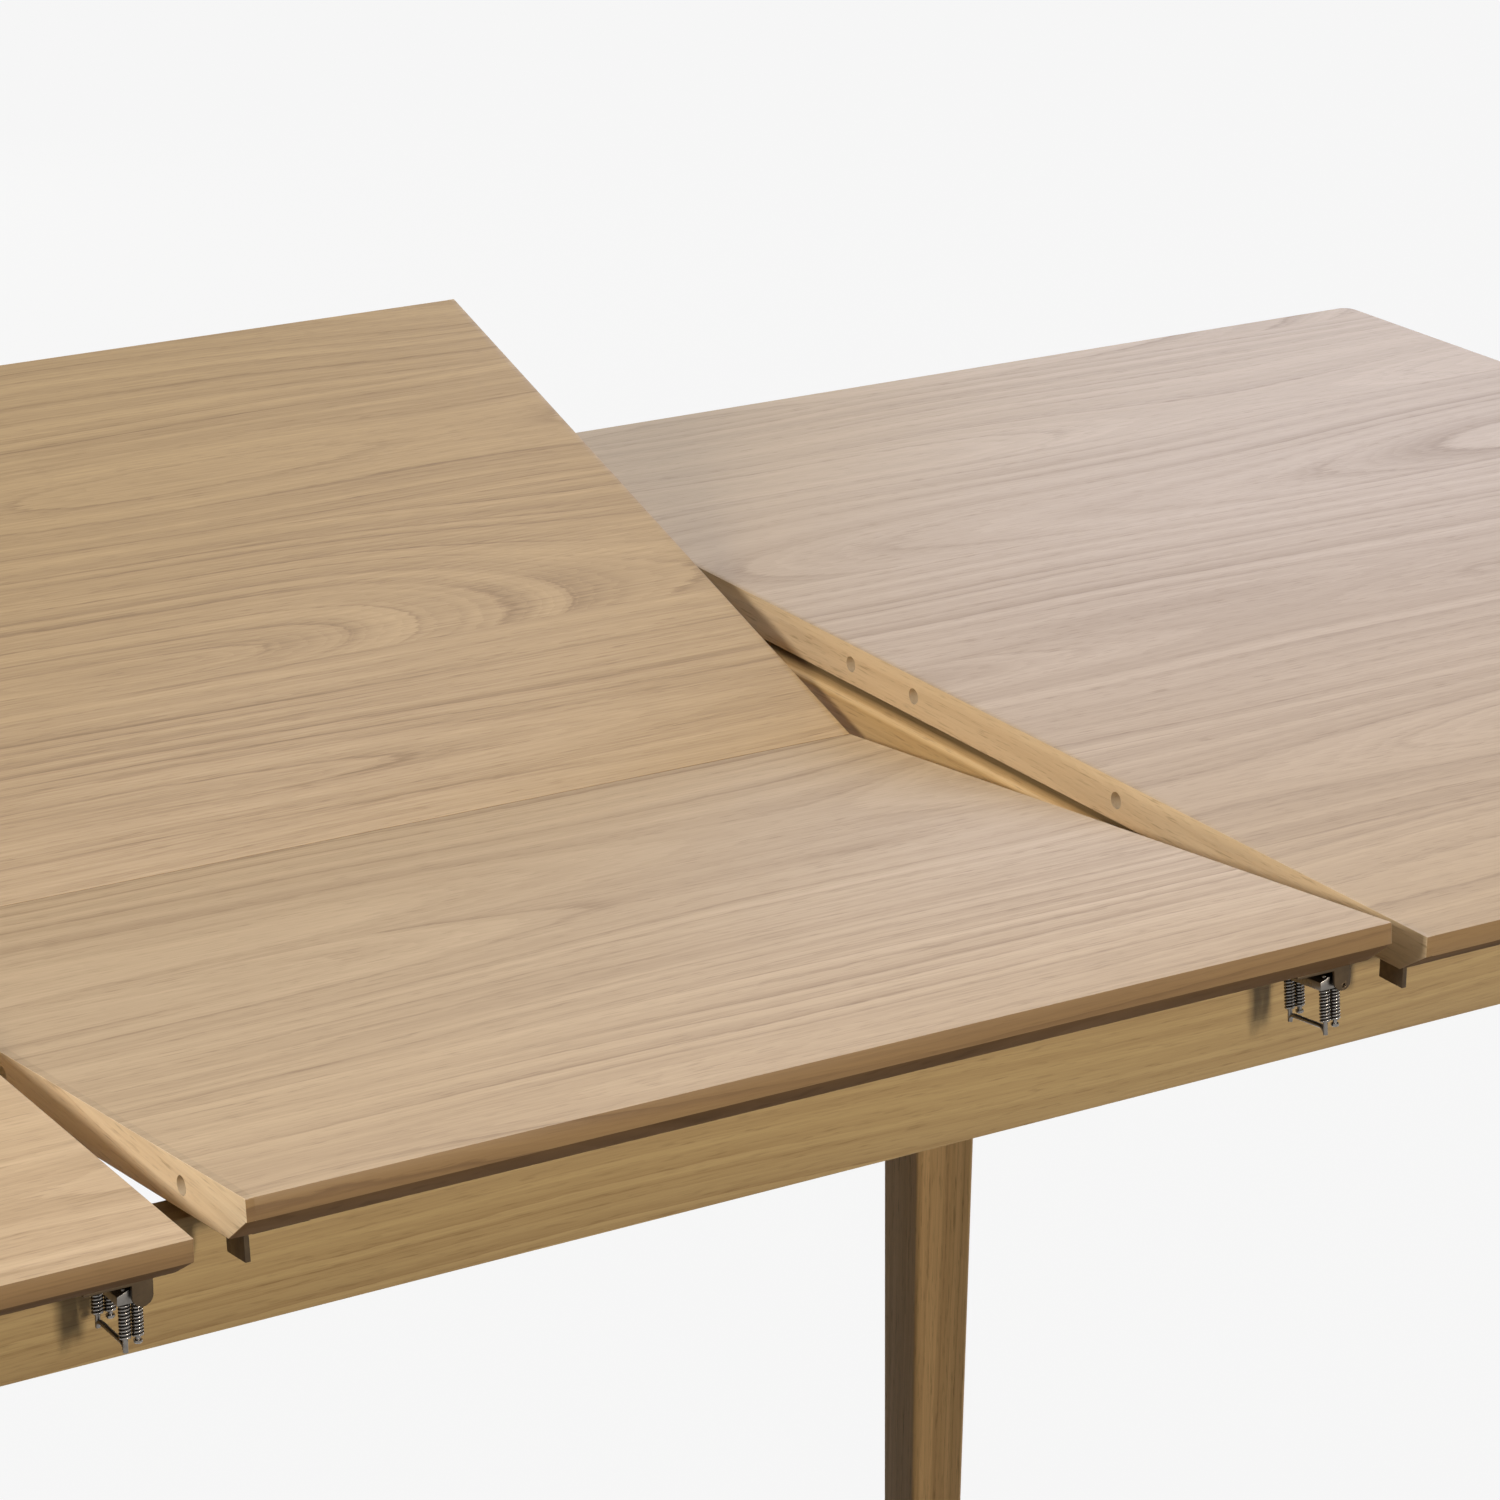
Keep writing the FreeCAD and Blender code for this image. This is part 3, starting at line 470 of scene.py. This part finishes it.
# the other pieces, each kind in one dictionary
easedGroups = (
    {"nodes": ("front_apron", "rear_apron"), "slot": "oak_apron", "material": oakApron, "ease": 0.0012},
    {"nodes": ("left_end_apron", "right_end_apron"), "slot": "oak_apron", "material": oakApronEnd, "ease": 0.0012},
    {"nodes": ("left_cross_rail", "right_cross_rail"), "slot": "oak_rail", "material": oakRail, "ease": 0.0008},
    {"nodes": ("front_left_leg", "front_right_leg", "rear_left_leg", "rear_right_leg"),
     "slot": "oak_leg", "material": oakLeg, "ease": 0.0008},
    {"nodes": ("corner_blocks",), "slot": "beech", "material": beechBlock, "ease": 0.0010},
    {"nodes": ("left_runners", "right_runners"), "slot": "beech", "material": beechAlong, "ease": 0.0008},
    {"nodes": ("left_runner_stops", "right_runner_stops"), "slot": "beech", "material": beechAlong, "ease": 0.0003},
    {"nodes": ("left_guides", "right_guides"), "slot": "beech", "material": beechAlong, "ease": 0.0008},
    {"nodes": ("left_top_pegs", "rear_leaf_pegs", "front_leaf_pegs"),
     "slot": "beech", "material": beechAlong, "ease": 0.0003},
    {"nodes": ("felt_pads",), "slot": "felt", "material": felt, "ease": 0.0006},
    {"nodes": ("leg_glides",), "slot": "glide_plastic", "material": polyamide, "ease": 0.0010},
    {"nodes": ("leaf_pivot_plates", "pivot_brackets"), "slot": "zinc_steel", "material": zinc, "ease": 0.0003},
    {"nodes": ("rear_hinge_barrels", "front_hinge_barrels"), "slot": "brass", "material": brass, "ease": 0.0004},
    {"nodes": ("hinge_links",), "slot": "brass", "material": brass, "ease": 0.0003},
    # catches and latch plates take the steel painted dark as painted shade
    {"nodes": ("right_top_catches", "front_leaf_catch", "rear_leaf_catch"),
     "slot": "zinc_steel", "material": shadeDarkPlate, "ease": 0.0003},
    {"nodes": ("front_leaf_latch_base", "rear_leaf_latch_base", "front_top_latch_base", "rear_top_latch_base"),
     "slot": "zinc_steel", "material": shadeDarkPlate, "ease": 0.0002},
)
easing = {
    "merge": 0.000005, "onJoint": 0.00002,       # metres
    "flat": 0.4, "sharp": 28, "smooth": 24,      # degrees
    "underside": -0.3,                           # faces whose normal points further down than this are below
}

# the holes for the locating pegs are lined with pale moulded sockets: offsets are from the table's middle
pegHoles = {"level": table["height"] - table["boardThickness"] / 2, "offsets": (0.030, 0.210, 0.390),
            "reach": 0.0052, "depth": 0.0125}


def inHole(point, edge, pose):
    local = pose.inverted() @ point
    aside = min(abs(abs(local.y) - offset) for offset in pegHoles["offsets"])
    return (abs(local.x - edge) < pegHoles["depth"] and abs(local.z - pegHoles["level"]) < pegHoles["reach"]
            and aside < pegHoles["reach"])


def easedPiece(node, look):
    piece = copyOf(frame["nodes"][node], node + ".eased")
    activate(piece)
    bpy.ops.mesh.customdata_custom_splitnormals_clear()
    bpy.ops.object.mode_set(mode="EDIT")
    bpy.ops.mesh.select_mode(type="EDGE")
    bpy.ops.mesh.select_all(action="SELECT")
    bpy.ops.mesh.remove_doubles(threshold=easing["merge"])
    bpy.ops.mesh.dissolve_limited(angle_limit=math.radians(easing["flat"]))
    joints, holes = look.get("joints", ()), look.get("holes")

    def isArris(edge):
        if len(edge.link_faces) != 2 or edge.calc_face_angle() < math.radians(easing["sharp"]):
            return False
        if holes and inHole(edge.verts[0].co, *holes):
            return False
        ends = [v.co.x for v in edge.verts]
        return not any(max(abs(x - joint) for x in ends) < easing["onJoint"] for joint in joints)

    pickInEdit(piece, "EDGE", isArris)
    bpy.ops.mesh.bevel(offset=look["ease"], segments=2, affect="EDGES", clamp_overlap=True)
    bpy.ops.object.mode_set(mode="OBJECT")
    bpy.ops.object.shade_smooth_by_angle(angle=math.radians(easing["smooth"]))
    dress(piece, bodyOf[node], look["material"], (node,))
    return piece


def easedBoard(node, look):
    # a board's underside is only sealed and painted darker as painted shade, and its peg holes are lined
    piece = easedPiece(node, look)
    holes = look["holes"]
    piece.data.materials.append(shadedUnderside)
    if holes:
        piece.data.materials.append(socketPlastic)
    for face in piece.data.polygons:
        if holes and abs(face.normal.x) < 0.5 and inHole(face.center, *holes):
            face.material_index = 2
        elif face.normal.z < easing["underside"]:
            face.material_index = 1


for node, look in boards.items():
    easedBoard(node, look)
    easedBoard(look["lipping"], dict(look, ease=lippingEase))
for look in easedGroups:
    for node in look["nodes"]:
        easedPiece(node, look)
print("wooden parts and plates eased")


# spring claw latches, modelled flat about their hinge at the origin
latch = {
    "hingeDrop": 0.007, "inset": 0.038, "setback": 0.014,
    "yokeHalf": 0.0156, "yokeRadius": 0.004, "tail": 0.0095,
    "armHalf": 0.013, "armOffset": 0.0055, "reach": 0.0295, "rod": 0.0011, "bend": 0.0035, "seat": 0.002,
    "springLength": 0.0165, "coilRadius": 0.0020, "wireRadius": 0.0006, "coils": 10, "coilSteps": 24,
    "guideSeat": 0.0005, "guideTip": 0.001, "guideHead": 0.0019, "guideHeadHeight": 0.0015,
    "headStraight": 0.6, "headTaper": 0.72,      # share of the head's height that is straight, width left at its end
    "nose": 0.98, "arris": 0.0003,               # the nose's rounding as a share of its radius
}


def isLevel(edge):
    return abs(edge.verts[0].co.z - edge.verts[1].co.z) < 1e-6


def bentRod(name, look):
    # a round bar: down one arm, round the bend, along the cross bar and up the other arm
    x, half, low, bend = -look["armOffset"], look["armHalf"], -look["reach"], look["bend"]
    bpy.ops.mesh.primitive_circle_add(vertices=16, radius=look["rod"], location=(x, -half, look["seat"]))
    piece = bpy.context.object
    piece.name = name
    bpy.ops.object.mode_set(mode="EDIT")
    bpy.ops.mesh.extrude_region_move(TRANSFORM_OT_translate={"value": (0, 0, low + bend - look["seat"])})
    bpy.ops.mesh.spin(steps=8, angle=math.radians(90), center=(x, -half + bend, low + bend), axis=(1, 0, 0))
    bpy.ops.mesh.extrude_region_move(TRANSFORM_OT_translate={"value": (0, 2 * (half - bend), 0)})
    bpy.ops.mesh.spin(steps=8, angle=math.radians(90), center=(x, half - bend, low + bend), axis=(1, 0, 0))
    bpy.ops.mesh.extrude_region_move(TRANSFORM_OT_translate={"value": (0, 0, look["seat"] - low - bend)})
    bpy.ops.mesh.select_all(action="SELECT")
    bpy.ops.mesh.remove_doubles(threshold=0.00001)
    bpy.ops.mesh.fill_holes(sides=0)
    bpy.ops.mesh.normals_make_consistent(inside=False)
    bpy.ops.object.mode_set(mode="OBJECT")
    bpy.ops.object.shade_smooth_by_angle(angle=math.radians(35))
    bakePlace(piece)
    return piece


def clawYoke(name, look):
    # pressed block with a rounded nose round the hinge pin
    bpy.ops.mesh.primitive_cube_add(size=1)
    piece = bpy.context.object
    piece.name = name
    radius, tail = look["yokeRadius"], look["tail"]
    piece.scale = (tail + radius, 2 * look["yokeHalf"], 2 * radius)
    piece.location = ((radius - tail) / 2, 0, 0)
    bakePlace(piece)
    bpy.ops.object.mode_set(mode="EDIT")
    pickInEdit(piece, "EDGE", lambda e: all(v.co.x > 0 for v in e.verts) and isLevel(e))
    bpy.ops.mesh.bevel(offset=radius * look["nose"], segments=8, affect="EDGES")
    # the tail is only as high as the hinge
    pickInEdit(piece, "EDGE", lambda e: all(v.co.x < -tail + 1e-6 and v.co.z > 0 for v in e.verts))
    bpy.ops.transform.translate(value=(0, 0, -radius))
    pickInEdit(piece, "EDGE", lambda e: e.calc_face_angle() > math.radians(40))
    bpy.ops.mesh.bevel(offset=look["arris"], segments=2, affect="EDGES")
    bpy.ops.object.mode_set(mode="OBJECT")
    bpy.ops.object.shade_smooth_by_angle(angle=math.radians(30))
    return piece


def guideRod(name, look):
    # a short pin with an upset head, turned from its outline
    top = -look["yokeRadius"] + look["guideSeat"]
    tip = -look["yokeRadius"] - look["springLength"] - look["guideTip"]
    straight, taper = look["headStraight"], look["headTaper"]
    bpy.ops.mesh.primitive_circle_add(vertices=20, radius=look["rod"], location=(0, 0, top))
    piece = bpy.context.object
    piece.name = name
    bpy.ops.object.mode_set(mode="EDIT")
    grow = look["guideHead"] / look["rod"]
    bpy.ops.mesh.extrude_region_move(TRANSFORM_OT_translate={"value": (0, 0, tip - top)})
    bpy.ops.mesh.extrude_region_move(TRANSFORM_OT_translate={"value": (0, 0, 0)})
    bpy.ops.transform.resize(value=(grow, grow, 1))
    for share in (straight, 1 - straight):
        bpy.ops.mesh.extrude_region_move(TRANSFORM_OT_translate={"value": (0, 0, -look["guideHeadHeight"] * share)})
    bpy.ops.transform.resize(value=(taper, taper, 1))
    bpy.ops.mesh.select_all(action="SELECT")
    bpy.ops.mesh.fill_holes(sides=0)
    bpy.ops.mesh.normals_make_consistent(inside=False)
    bpy.ops.object.mode_set(mode="OBJECT")
    bpy.ops.object.shade_smooth_by_angle(angle=math.radians(35))
    bakePlace(piece)
    return piece


def coilSpring(name, look):
    # round wire wound into a helix by the Screw modifier, its two ends closed
    pitch = (look["springLength"] - 2 * look["wireRadius"]) / look["coils"]
    foot = -look["yokeRadius"] - look["springLength"] + look["wireRadius"]
    bpy.ops.mesh.primitive_circle_add(vertices=10, radius=look["wireRadius"], rotation=(math.radians(90), 0, 0),
                                      location=(look["coilRadius"], 0, foot))
    piece = bpy.context.object
    piece.name = name
    bakePlace(piece)
    screw = piece.modifiers.new("winding", "SCREW")
    screw.angle = math.radians(360) * look["coils"]
    screw.screw_offset = pitch * look["coils"]
    screw.steps = screw.render_steps = look["coilSteps"] * look["coils"]
    screw.iterations = 1
    screw.use_normal_calculate = True
    bpy.ops.object.modifier_apply(modifier="winding")
    bpy.ops.object.mode_set(mode="EDIT")
    bpy.ops.mesh.select_all(action="SELECT")
    bpy.ops.mesh.fill_holes(sides=0)
    bpy.ops.mesh.normals_make_consistent(inside=False)
    bpy.ops.object.mode_set(mode="OBJECT")
    bpy.ops.object.shade_smooth_by_angle(angle=math.radians(50))
    return piece


rodMaster = bentRod("clawRod", latch)
yokeMaster = clawYoke("clawYoke", latch)
guideMaster = guideRod("springGuide", latch)
springMaster = coilSpring("clawSpring", latch)

latchX = table["leafHalf"] - latch["setback"]
leftLatchX = -table["topInner"] - latch["setback"]
latchY = table["halfWidth"] - latch["inset"]
latchPlaces = {
    "front_leaf": (latchX, -latchY, frontPose),
    "rear_leaf": (latchX, latchY, rearPose),
    "front_top": (leftLatchX, -latchY, flat),
    "rear_top": (leftLatchX, latchY, flat),
}
for owner, (x, y, pose) in latchPlaces.items():
    node = owner + "_claw"    # the body has the same name
    where = pose @ Matrix.Translation((x, y, underside - latch["hingeDrop"]))
    for master, label, slotName, material, spots in (
            (yokeMaster, "yoke", "claw_steel", wire, ((0, 0),)),
            (rodMaster, "rod", "claw_steel", wire, ((0, 0),)),
            (guideMaster, "guide", "claw_steel", nickel, ((0, -latch["armHalf"]), (0, latch["armHalf"]))),
            (springMaster, "spring", "spring_steel", nickel,
             [(a, b * latch["armHalf"]) for a in (0, -latch["armOffset"]) for b in (-1, 1)])):
        for number, (shiftX, shiftY) in enumerate(spots, 1):
            piece = copyOf(master, "%s.%s.%d" % (node, label, number))
            bakePlace(piece, where @ Matrix.Translation((shiftX, shiftY, 0)))
            dress(piece, node, material, (node + "_springs",) if label == "spring" else (node,))
for master in (rodMaster, yokeMaster, guideMaster, springMaster):
    bpy.data.objects.remove(master)
print("latches made")


screwLook = {
    "radius": 0.0034, "proud": 0.0007, "sunk": 0.0006, "crown": 0.8,      # rounded share of what stands proud
    "slotLength": 0.0040, "slotWidth": 0.0009, "slotDepth": 0.0009,
}


def screwHead(name, look):
    # raised countersunk head with a cross recess, its face at -Z
    height = look["proud"] + look["sunk"]
    bpy.ops.mesh.primitive_cylinder_add(vertices=28, radius=look["radius"], depth=height,
                                        location=(0, 0, (look["sunk"] - look["proud"]) / 2))
    piece = bpy.context.object
    piece.name = name
    bakePlace(piece)
    bpy.ops.object.mode_set(mode="EDIT")
    pickInEdit(piece, "EDGE", lambda e: all(v.co.z < -look["proud"] + 1e-6 for v in e.verts))
    bpy.ops.mesh.bevel(offset=look["proud"] * look["crown"], segments=3, affect="EDGES")
    bpy.ops.object.mode_set(mode="OBJECT")
    for turn in (0, 90):
        bpy.ops.mesh.primitive_cube_add(size=1, location=(0, 0, -look["proud"]))
        blade = bpy.context.object
        blade.scale = (look["slotLength"], look["slotWidth"], 2 * look["slotDepth"])
        blade.rotation_euler = (0, 0, math.radians(turn))
        bakePlace(blade)
        activate(piece)
        cut = piece.modifiers.new("recess", "BOOLEAN")
        cut.operation, cut.object, cut.solver = "DIFFERENCE", blade, "EXACT"
        bpy.ops.object.modifier_apply(modifier="recess")
        bpy.data.objects.remove(blade)
    bpy.ops.object.shade_smooth_by_angle(angle=math.radians(30))
    return piece


screwMaster = screwHead("screwHead", screwLook)
screwSpin = {"first": 23, "step": 37}    # degrees, so that no two slots are in line


def addScrews(label, body, places, pose=flat, turn=flat):
    # places are points on the plate's outer face; turn brings -Z to the face's outward direction
    heads = []
    for number, point in enumerate(places):
        piece = copyOf(screwMaster, "screws." + label)
        spin = Matrix.Rotation(math.radians(screwSpin["first"] + screwSpin["step"] * number), 4, "Z")
        bakePlace(piece, pose @ Matrix.Translation(point) @ turn @ spin)
        heads.append(piece)
    activate(heads[0])
    for piece in heads:
        piece.select_set(True)
    if len(heads) > 1:
        bpy.ops.object.join()
    dress(heads[0], body, zinc)
    return len(heads)


# from the plate's edge or the table's middle to the screws, and half the distance between a pair
screwPlaces = {
    "plate": 0.0015, "latch": (0.0190, 0.011), "catch": (0.0275, 0.0105),
    "pivotPlate": 0.003, "pivotPlateRows": (0.256, 0.274), "pivotPlatePair": 0.014,
    "bracketFace": 0.294, "bracketPair": 0.0085, "bracketDrop": 0.0215,
    "runnerStart": 0.350, "runnerStep": 0.120, "runnerCount": 5, "runnerLine": 0.2535, "runnerHeight": 0.032,
}
bothSides = (-1, 1)
plateFace = underside - screwPlaces["plate"]
screwCount = 0
back, half = screwPlaces["latch"]
for owner, (x, y, pose) in latchPlaces.items():
    screwCount += addScrews(owner + "_latch", bodyOf[owner + "_latch_base"],
                            [(x - back, y + s * half, plateFace) for s in bothSides], pose)
back, half = screwPlaces["catch"]
for label, edge, ends, body, pose in (
        ("right_top_catches", table["topInner"], bothSides, "right_top", flat),
        ("front_leaf_catch", -table["leafHalf"], (-1,), "front_leaf", frontPose),
        ("rear_leaf_catch", -table["leafHalf"], (1,), "rear_leaf", rearPose)):
    places = [(edge + back, end * latchY + s * half, plateFace) for end in ends for s in bothSides]
    screwCount += addScrews(label, body, places, pose)
plateBottom = underside - screwPlaces["pivotPlate"]
screwCount += addScrews("pivot_plates", "rear_leaf",
                        [(side * x, table["pivotY"] + s * screwPlaces["pivotPlatePair"], plateBottom)
                         for side in bothSides for x in screwPlaces["pivotPlateRows"] for s in bothSides], rearPose)
for side, name in zip(bothSides, ("left", "right")):   # heads on the brackets face the middle of the table
    faceIn = Matrix.Rotation(math.radians(side * 90), 4, "Y")
    places = [(side * screwPlaces["bracketFace"], table["pivotY"] + s * screwPlaces["bracketPair"],
               pivot.z - screwPlaces["bracketDrop"]) for s in bothSides]
    screwCount += addScrews("bracket_" + name, "frame", places, turn=faceIn)
for side, body in ((1, "right_top"), (-1, "left_top")):
    rows = [screwPlaces["runnerStart"] + screwPlaces["runnerStep"] * k for k in range(screwPlaces["runnerCount"])]
    screwCount += addScrews("runners_" + body, body,
                            [(side * x, s * screwPlaces["runnerLine"], underside - screwPlaces["runnerHeight"])
                             for x in rows for s in bothSides])
bpy.data.objects.remove(screwMaster)
print("screws placed:", screwCount)


legFixing = {
    "corner": (0.558, 0.332), "levels": (0.6875, 0.7075), "blockFace": 0.0196, "tail": 0.0301, "grip": 0.030,
    "radius": 0.004, "root": 0.0034, "pitch": 0.00125,
    "nutAcross": 0.013, "nutHeight": 0.0065, "nutBore": 0.00405, "nutEase": 0.0005,
    "washerRadius": 0.008, "washerHeight": 0.0016, "washerBore": 0.0043, "washerEase": 0.0002,
}


def threadedRod(name, look):
    # one V of thread wound up by the Screw modifier, along +Z from the tail
    pitch, radius, root = look["pitch"], look["radius"], look["root"]
    turns = int((look["tail"] + look["grip"]) / pitch) - 1
    bpy.ops.mesh.primitive_plane_add(size=1)
    piece = bpy.context.object
    piece.name = name
    bpy.ops.object.mode_set(mode="EDIT")
    bpy.ops.mesh.select_all(action="SELECT")
    bpy.ops.mesh.delete(type="ONLY_FACE")
    shape = bmesh.from_edit_mesh(piece.data)
    shape.verts.ensure_lookup_table()
    for vert, spot in zip(list(shape.verts), ((root, 0), (radius, pitch / 2), (root, pitch), None)):
        if spot is None:
            shape.verts.remove(vert)
        else:
            vert.co = (spot[0], 0, spot[1])
    for edge in list(shape.edges):
        shape.edges.remove(edge)
    shape.verts.ensure_lookup_table()
    shape.edges.new((shape.verts[0], shape.verts[1]))
    shape.edges.new((shape.verts[1], shape.verts[2]))
    bmesh.update_edit_mesh(piece.data)
    bpy.ops.object.mode_set(mode="OBJECT")
    screw = piece.modifiers.new("thread", "SCREW")
    screw.screw_offset, screw.iterations = pitch, turns
    screw.steps = screw.render_steps = 18
    screw.use_merge_vertices = True
    bpy.ops.object.modifier_apply(modifier="thread")
    bpy.ops.object.mode_set(mode="EDIT")
    bpy.ops.mesh.select_all(action="SELECT")
    bpy.ops.mesh.remove_doubles(threshold=0.00001)
    bpy.ops.mesh.fill_holes(sides=0)
    bpy.ops.mesh.normals_make_consistent(inside=False)
    bpy.ops.object.mode_set(mode="OBJECT")
    bpy.ops.object.shade_smooth_by_angle(angle=math.radians(30))
    return piece


def boredPiece(name, sides, radius, height, bore, ease):
    # hexagon or disc from z 0 to height, bored through, with its outer edges eased
    bpy.ops.mesh.primitive_cylinder_add(vertices=sides, radius=radius, depth=height, location=(0, 0, height / 2))
    piece = bpy.context.object
    piece.name = name
    bakePlace(piece)
    bpy.ops.object.mode_set(mode="EDIT")
    pickInEdit(piece, "EDGE", isLevel)
    bpy.ops.mesh.bevel(offset=ease, segments=2, affect="EDGES")
    bpy.ops.object.mode_set(mode="OBJECT")
    bpy.ops.mesh.primitive_cylinder_add(vertices=32, radius=bore, depth=4 * height)
    drill = bpy.context.object
    activate(piece)
    cut = piece.modifiers.new("bore", "BOOLEAN")
    cut.operation, cut.object, cut.solver = "DIFFERENCE", drill, "EXACT"
    bpy.ops.object.modifier_apply(modifier="bore")
    bpy.data.objects.remove(drill)
    bpy.ops.object.shade_smooth_by_angle(angle=math.radians(25))
    return piece


rodMaster = threadedRod("threadedRod", legFixing)
nutMaster = boredPiece("hexNut", 6, legFixing["nutAcross"] / math.sqrt(3), legFixing["nutHeight"],
                       legFixing["nutBore"], legFixing["nutEase"])
washerMaster = boredPiece("washer", 40, legFixing["washerRadius"], legFixing["washerHeight"],
                          legFixing["washerBore"], legFixing["washerEase"])


def fixingSet(master, label, start, nodes):
    made = []
    for sx in (1, -1):
        for sy in (1, -1):
            for level in legFixing["levels"]:
                outwardWay = Vector((sx, sy, 0)).normalized()
                corner = Vector((sx * legFixing["corner"][0], sy * legFixing["corner"][1], level))
                aim = Vector((0, 0, 1)).rotation_difference(outwardWay).to_matrix().to_4x4()
                piece = copyOf(master, label)
                bakePlace(piece, Matrix.Translation(corner + outwardWay * start) @ aim)
                made.append(piece)
    activate(made[0])
    for piece in made:
        piece.select_set(True)
    bpy.ops.object.join()
    dress(made[0], "frame", zinc, nodes)
    bpy.data.objects.remove(master)


washerEnd = -legFixing["blockFace"] - legFixing["washerHeight"]
fixingSet(rodMaster, "leg_bolts.threaded", -legFixing["tail"], ("leg_bolts",))
fixingSet(nutMaster, "leg_nuts.hexagon", washerEnd - legFixing["nutHeight"], ("leg_nuts",))
fixingSet(washerMaster, "leg_nuts.washers", washerEnd, ("leg_nuts",))
print("leg fixings made")


stageLook = {"floor": "#5A5650", "floorSize": 40, "floorPlace": (0, 6, 0), "white": "#FFFFFF", "whiteShare": 0.92,
             "fromAbove": 0.14, "fromSides": 0.01}      # strength of the room light from above and from the horizon


def seenDirectly(tree):
    # 1 for rays from the camera, in reflections and through glass, 0 for the light that falls on things
    light = addNode(tree, "ShaderNodeLightPath")
    seen = light.outputs["Is Camera Ray"]
    for kind in ("Is Glossy Ray", "Is Transmission Ray"):
        seen = addNode(tree, "ShaderNodeMath", {"operation": "MAXIMUM"}, {0: seen, 1: light.outputs[kind]}).outputs[0]
    return seen


def addFloor(look):
    bpy.ops.mesh.primitive_plane_add(size=look["floorSize"], location=look["floorPlace"])
    floor = bpy.context.object
    floor.name = "floor"
    bakePlace(floor)
    material, tree = newMaterial("paleFloor")
    diffuse = addNode(tree, "ShaderNodeBsdfDiffuse", inputs={"Color": linearColour(look["floor"])})
    glow = addNode(tree, "ShaderNodeEmission", inputs={"Color": linearColour(look["white"]), "Strength": 1.0})
    share = addNode(tree, "ShaderNodeMath", {"operation": "MULTIPLY"}, {0: seenDirectly(tree), 1: look["whiteShare"]})
    mixed = addNode(tree, "ShaderNodeMixShader", inputs={0: share, 1: diffuse, 2: glow})
    finishMaterial(tree, mixed)
    floor.data.materials.append(material)


def addWorld(look):
    world = bpy.data.worlds.new("whiteRoom")
    bpy.context.scene.world = world
    world.use_nodes = True
    tree = world.node_tree
    tree.nodes.clear()
    place = addNode(tree, "ShaderNodeTexCoord")
    height = addNode(tree, "ShaderNodeSeparateXYZ", inputs={0: place.outputs["Generated"]})
    room = addNode(tree, "ShaderNodeMapRange", inputs={0: height.outputs[2], 1: 0.0, 2: 0.8, 3: look["fromSides"],
                                                       4: look["fromAbove"]})
    level = addNode(tree, "ShaderNodeMix", {"data_type": "FLOAT"}, {0: seenDirectly(tree), 2: room, 3: 1.0})
    background = addNode(tree, "ShaderNodeBackground", inputs={"Color": linearColour(look["white"]), "Strength": level})
    addNode(tree, "ShaderNodeOutputWorld", inputs={"Surface": background})


lampAim = Vector((0, 0, 0.7))
lamps = {
    # a low window on the left, which lights the edges that face it, a weak one behind on the right for the sheen,
    # a soft box over the right half and one in front
    "leftWindow": {"place": (-3.6, -0.9, 2.50), "size": 0.9, "power": 110, "colour": "#FFF9F2"},
    "rightWindow": {"place": (4.0, 3.8, 2.5), "size": 2.4, "power": 42, "colour": "#D2DCFF"},
    "ceilingBox": {"place": (1.1, 0.8, 3.6), "size": 1.5, "power": 62, "colour": "#EEF2FF"},
    "frontBox": {"place": (0.4, -4.6, 2.2), "size": 0.5, "power": 128, "colour": "#FFF6E8"},
    # low fills, which keep the back and the right end from going dark
    "rearFill": {"place": (1.0, 4.6, 0.55), "size": 0.8, "power": 52, "colour": "#FFFFFF"},
    "endFill": {"place": (4.8, -0.5, 0.55), "size": 0.8, "power": 46, "colour": "#FFFFFF"},
}


def addLamp(name, look):
    data = bpy.data.lights.new(name, "AREA")
    data.shape, data.size, data.energy = "SQUARE", look["size"], look["power"]
    data.color = linearColour(look["colour"])[:3]
    lamp = bpy.data.objects.new(name, data)
    bpy.context.scene.collection.objects.link(lamp)
    aim = lampAim - Vector(look["place"])
    lamp.visible_camera = False
    lamp.matrix_world = Matrix.Translation(look["place"]) @ aim.to_track_quat("-Z", "Y").to_matrix().to_4x4()


addFloor(stageLook)
addWorld(stageLook)
for name, look in lamps.items():
    addLamp(name, look)
print("stage and lamps placed")
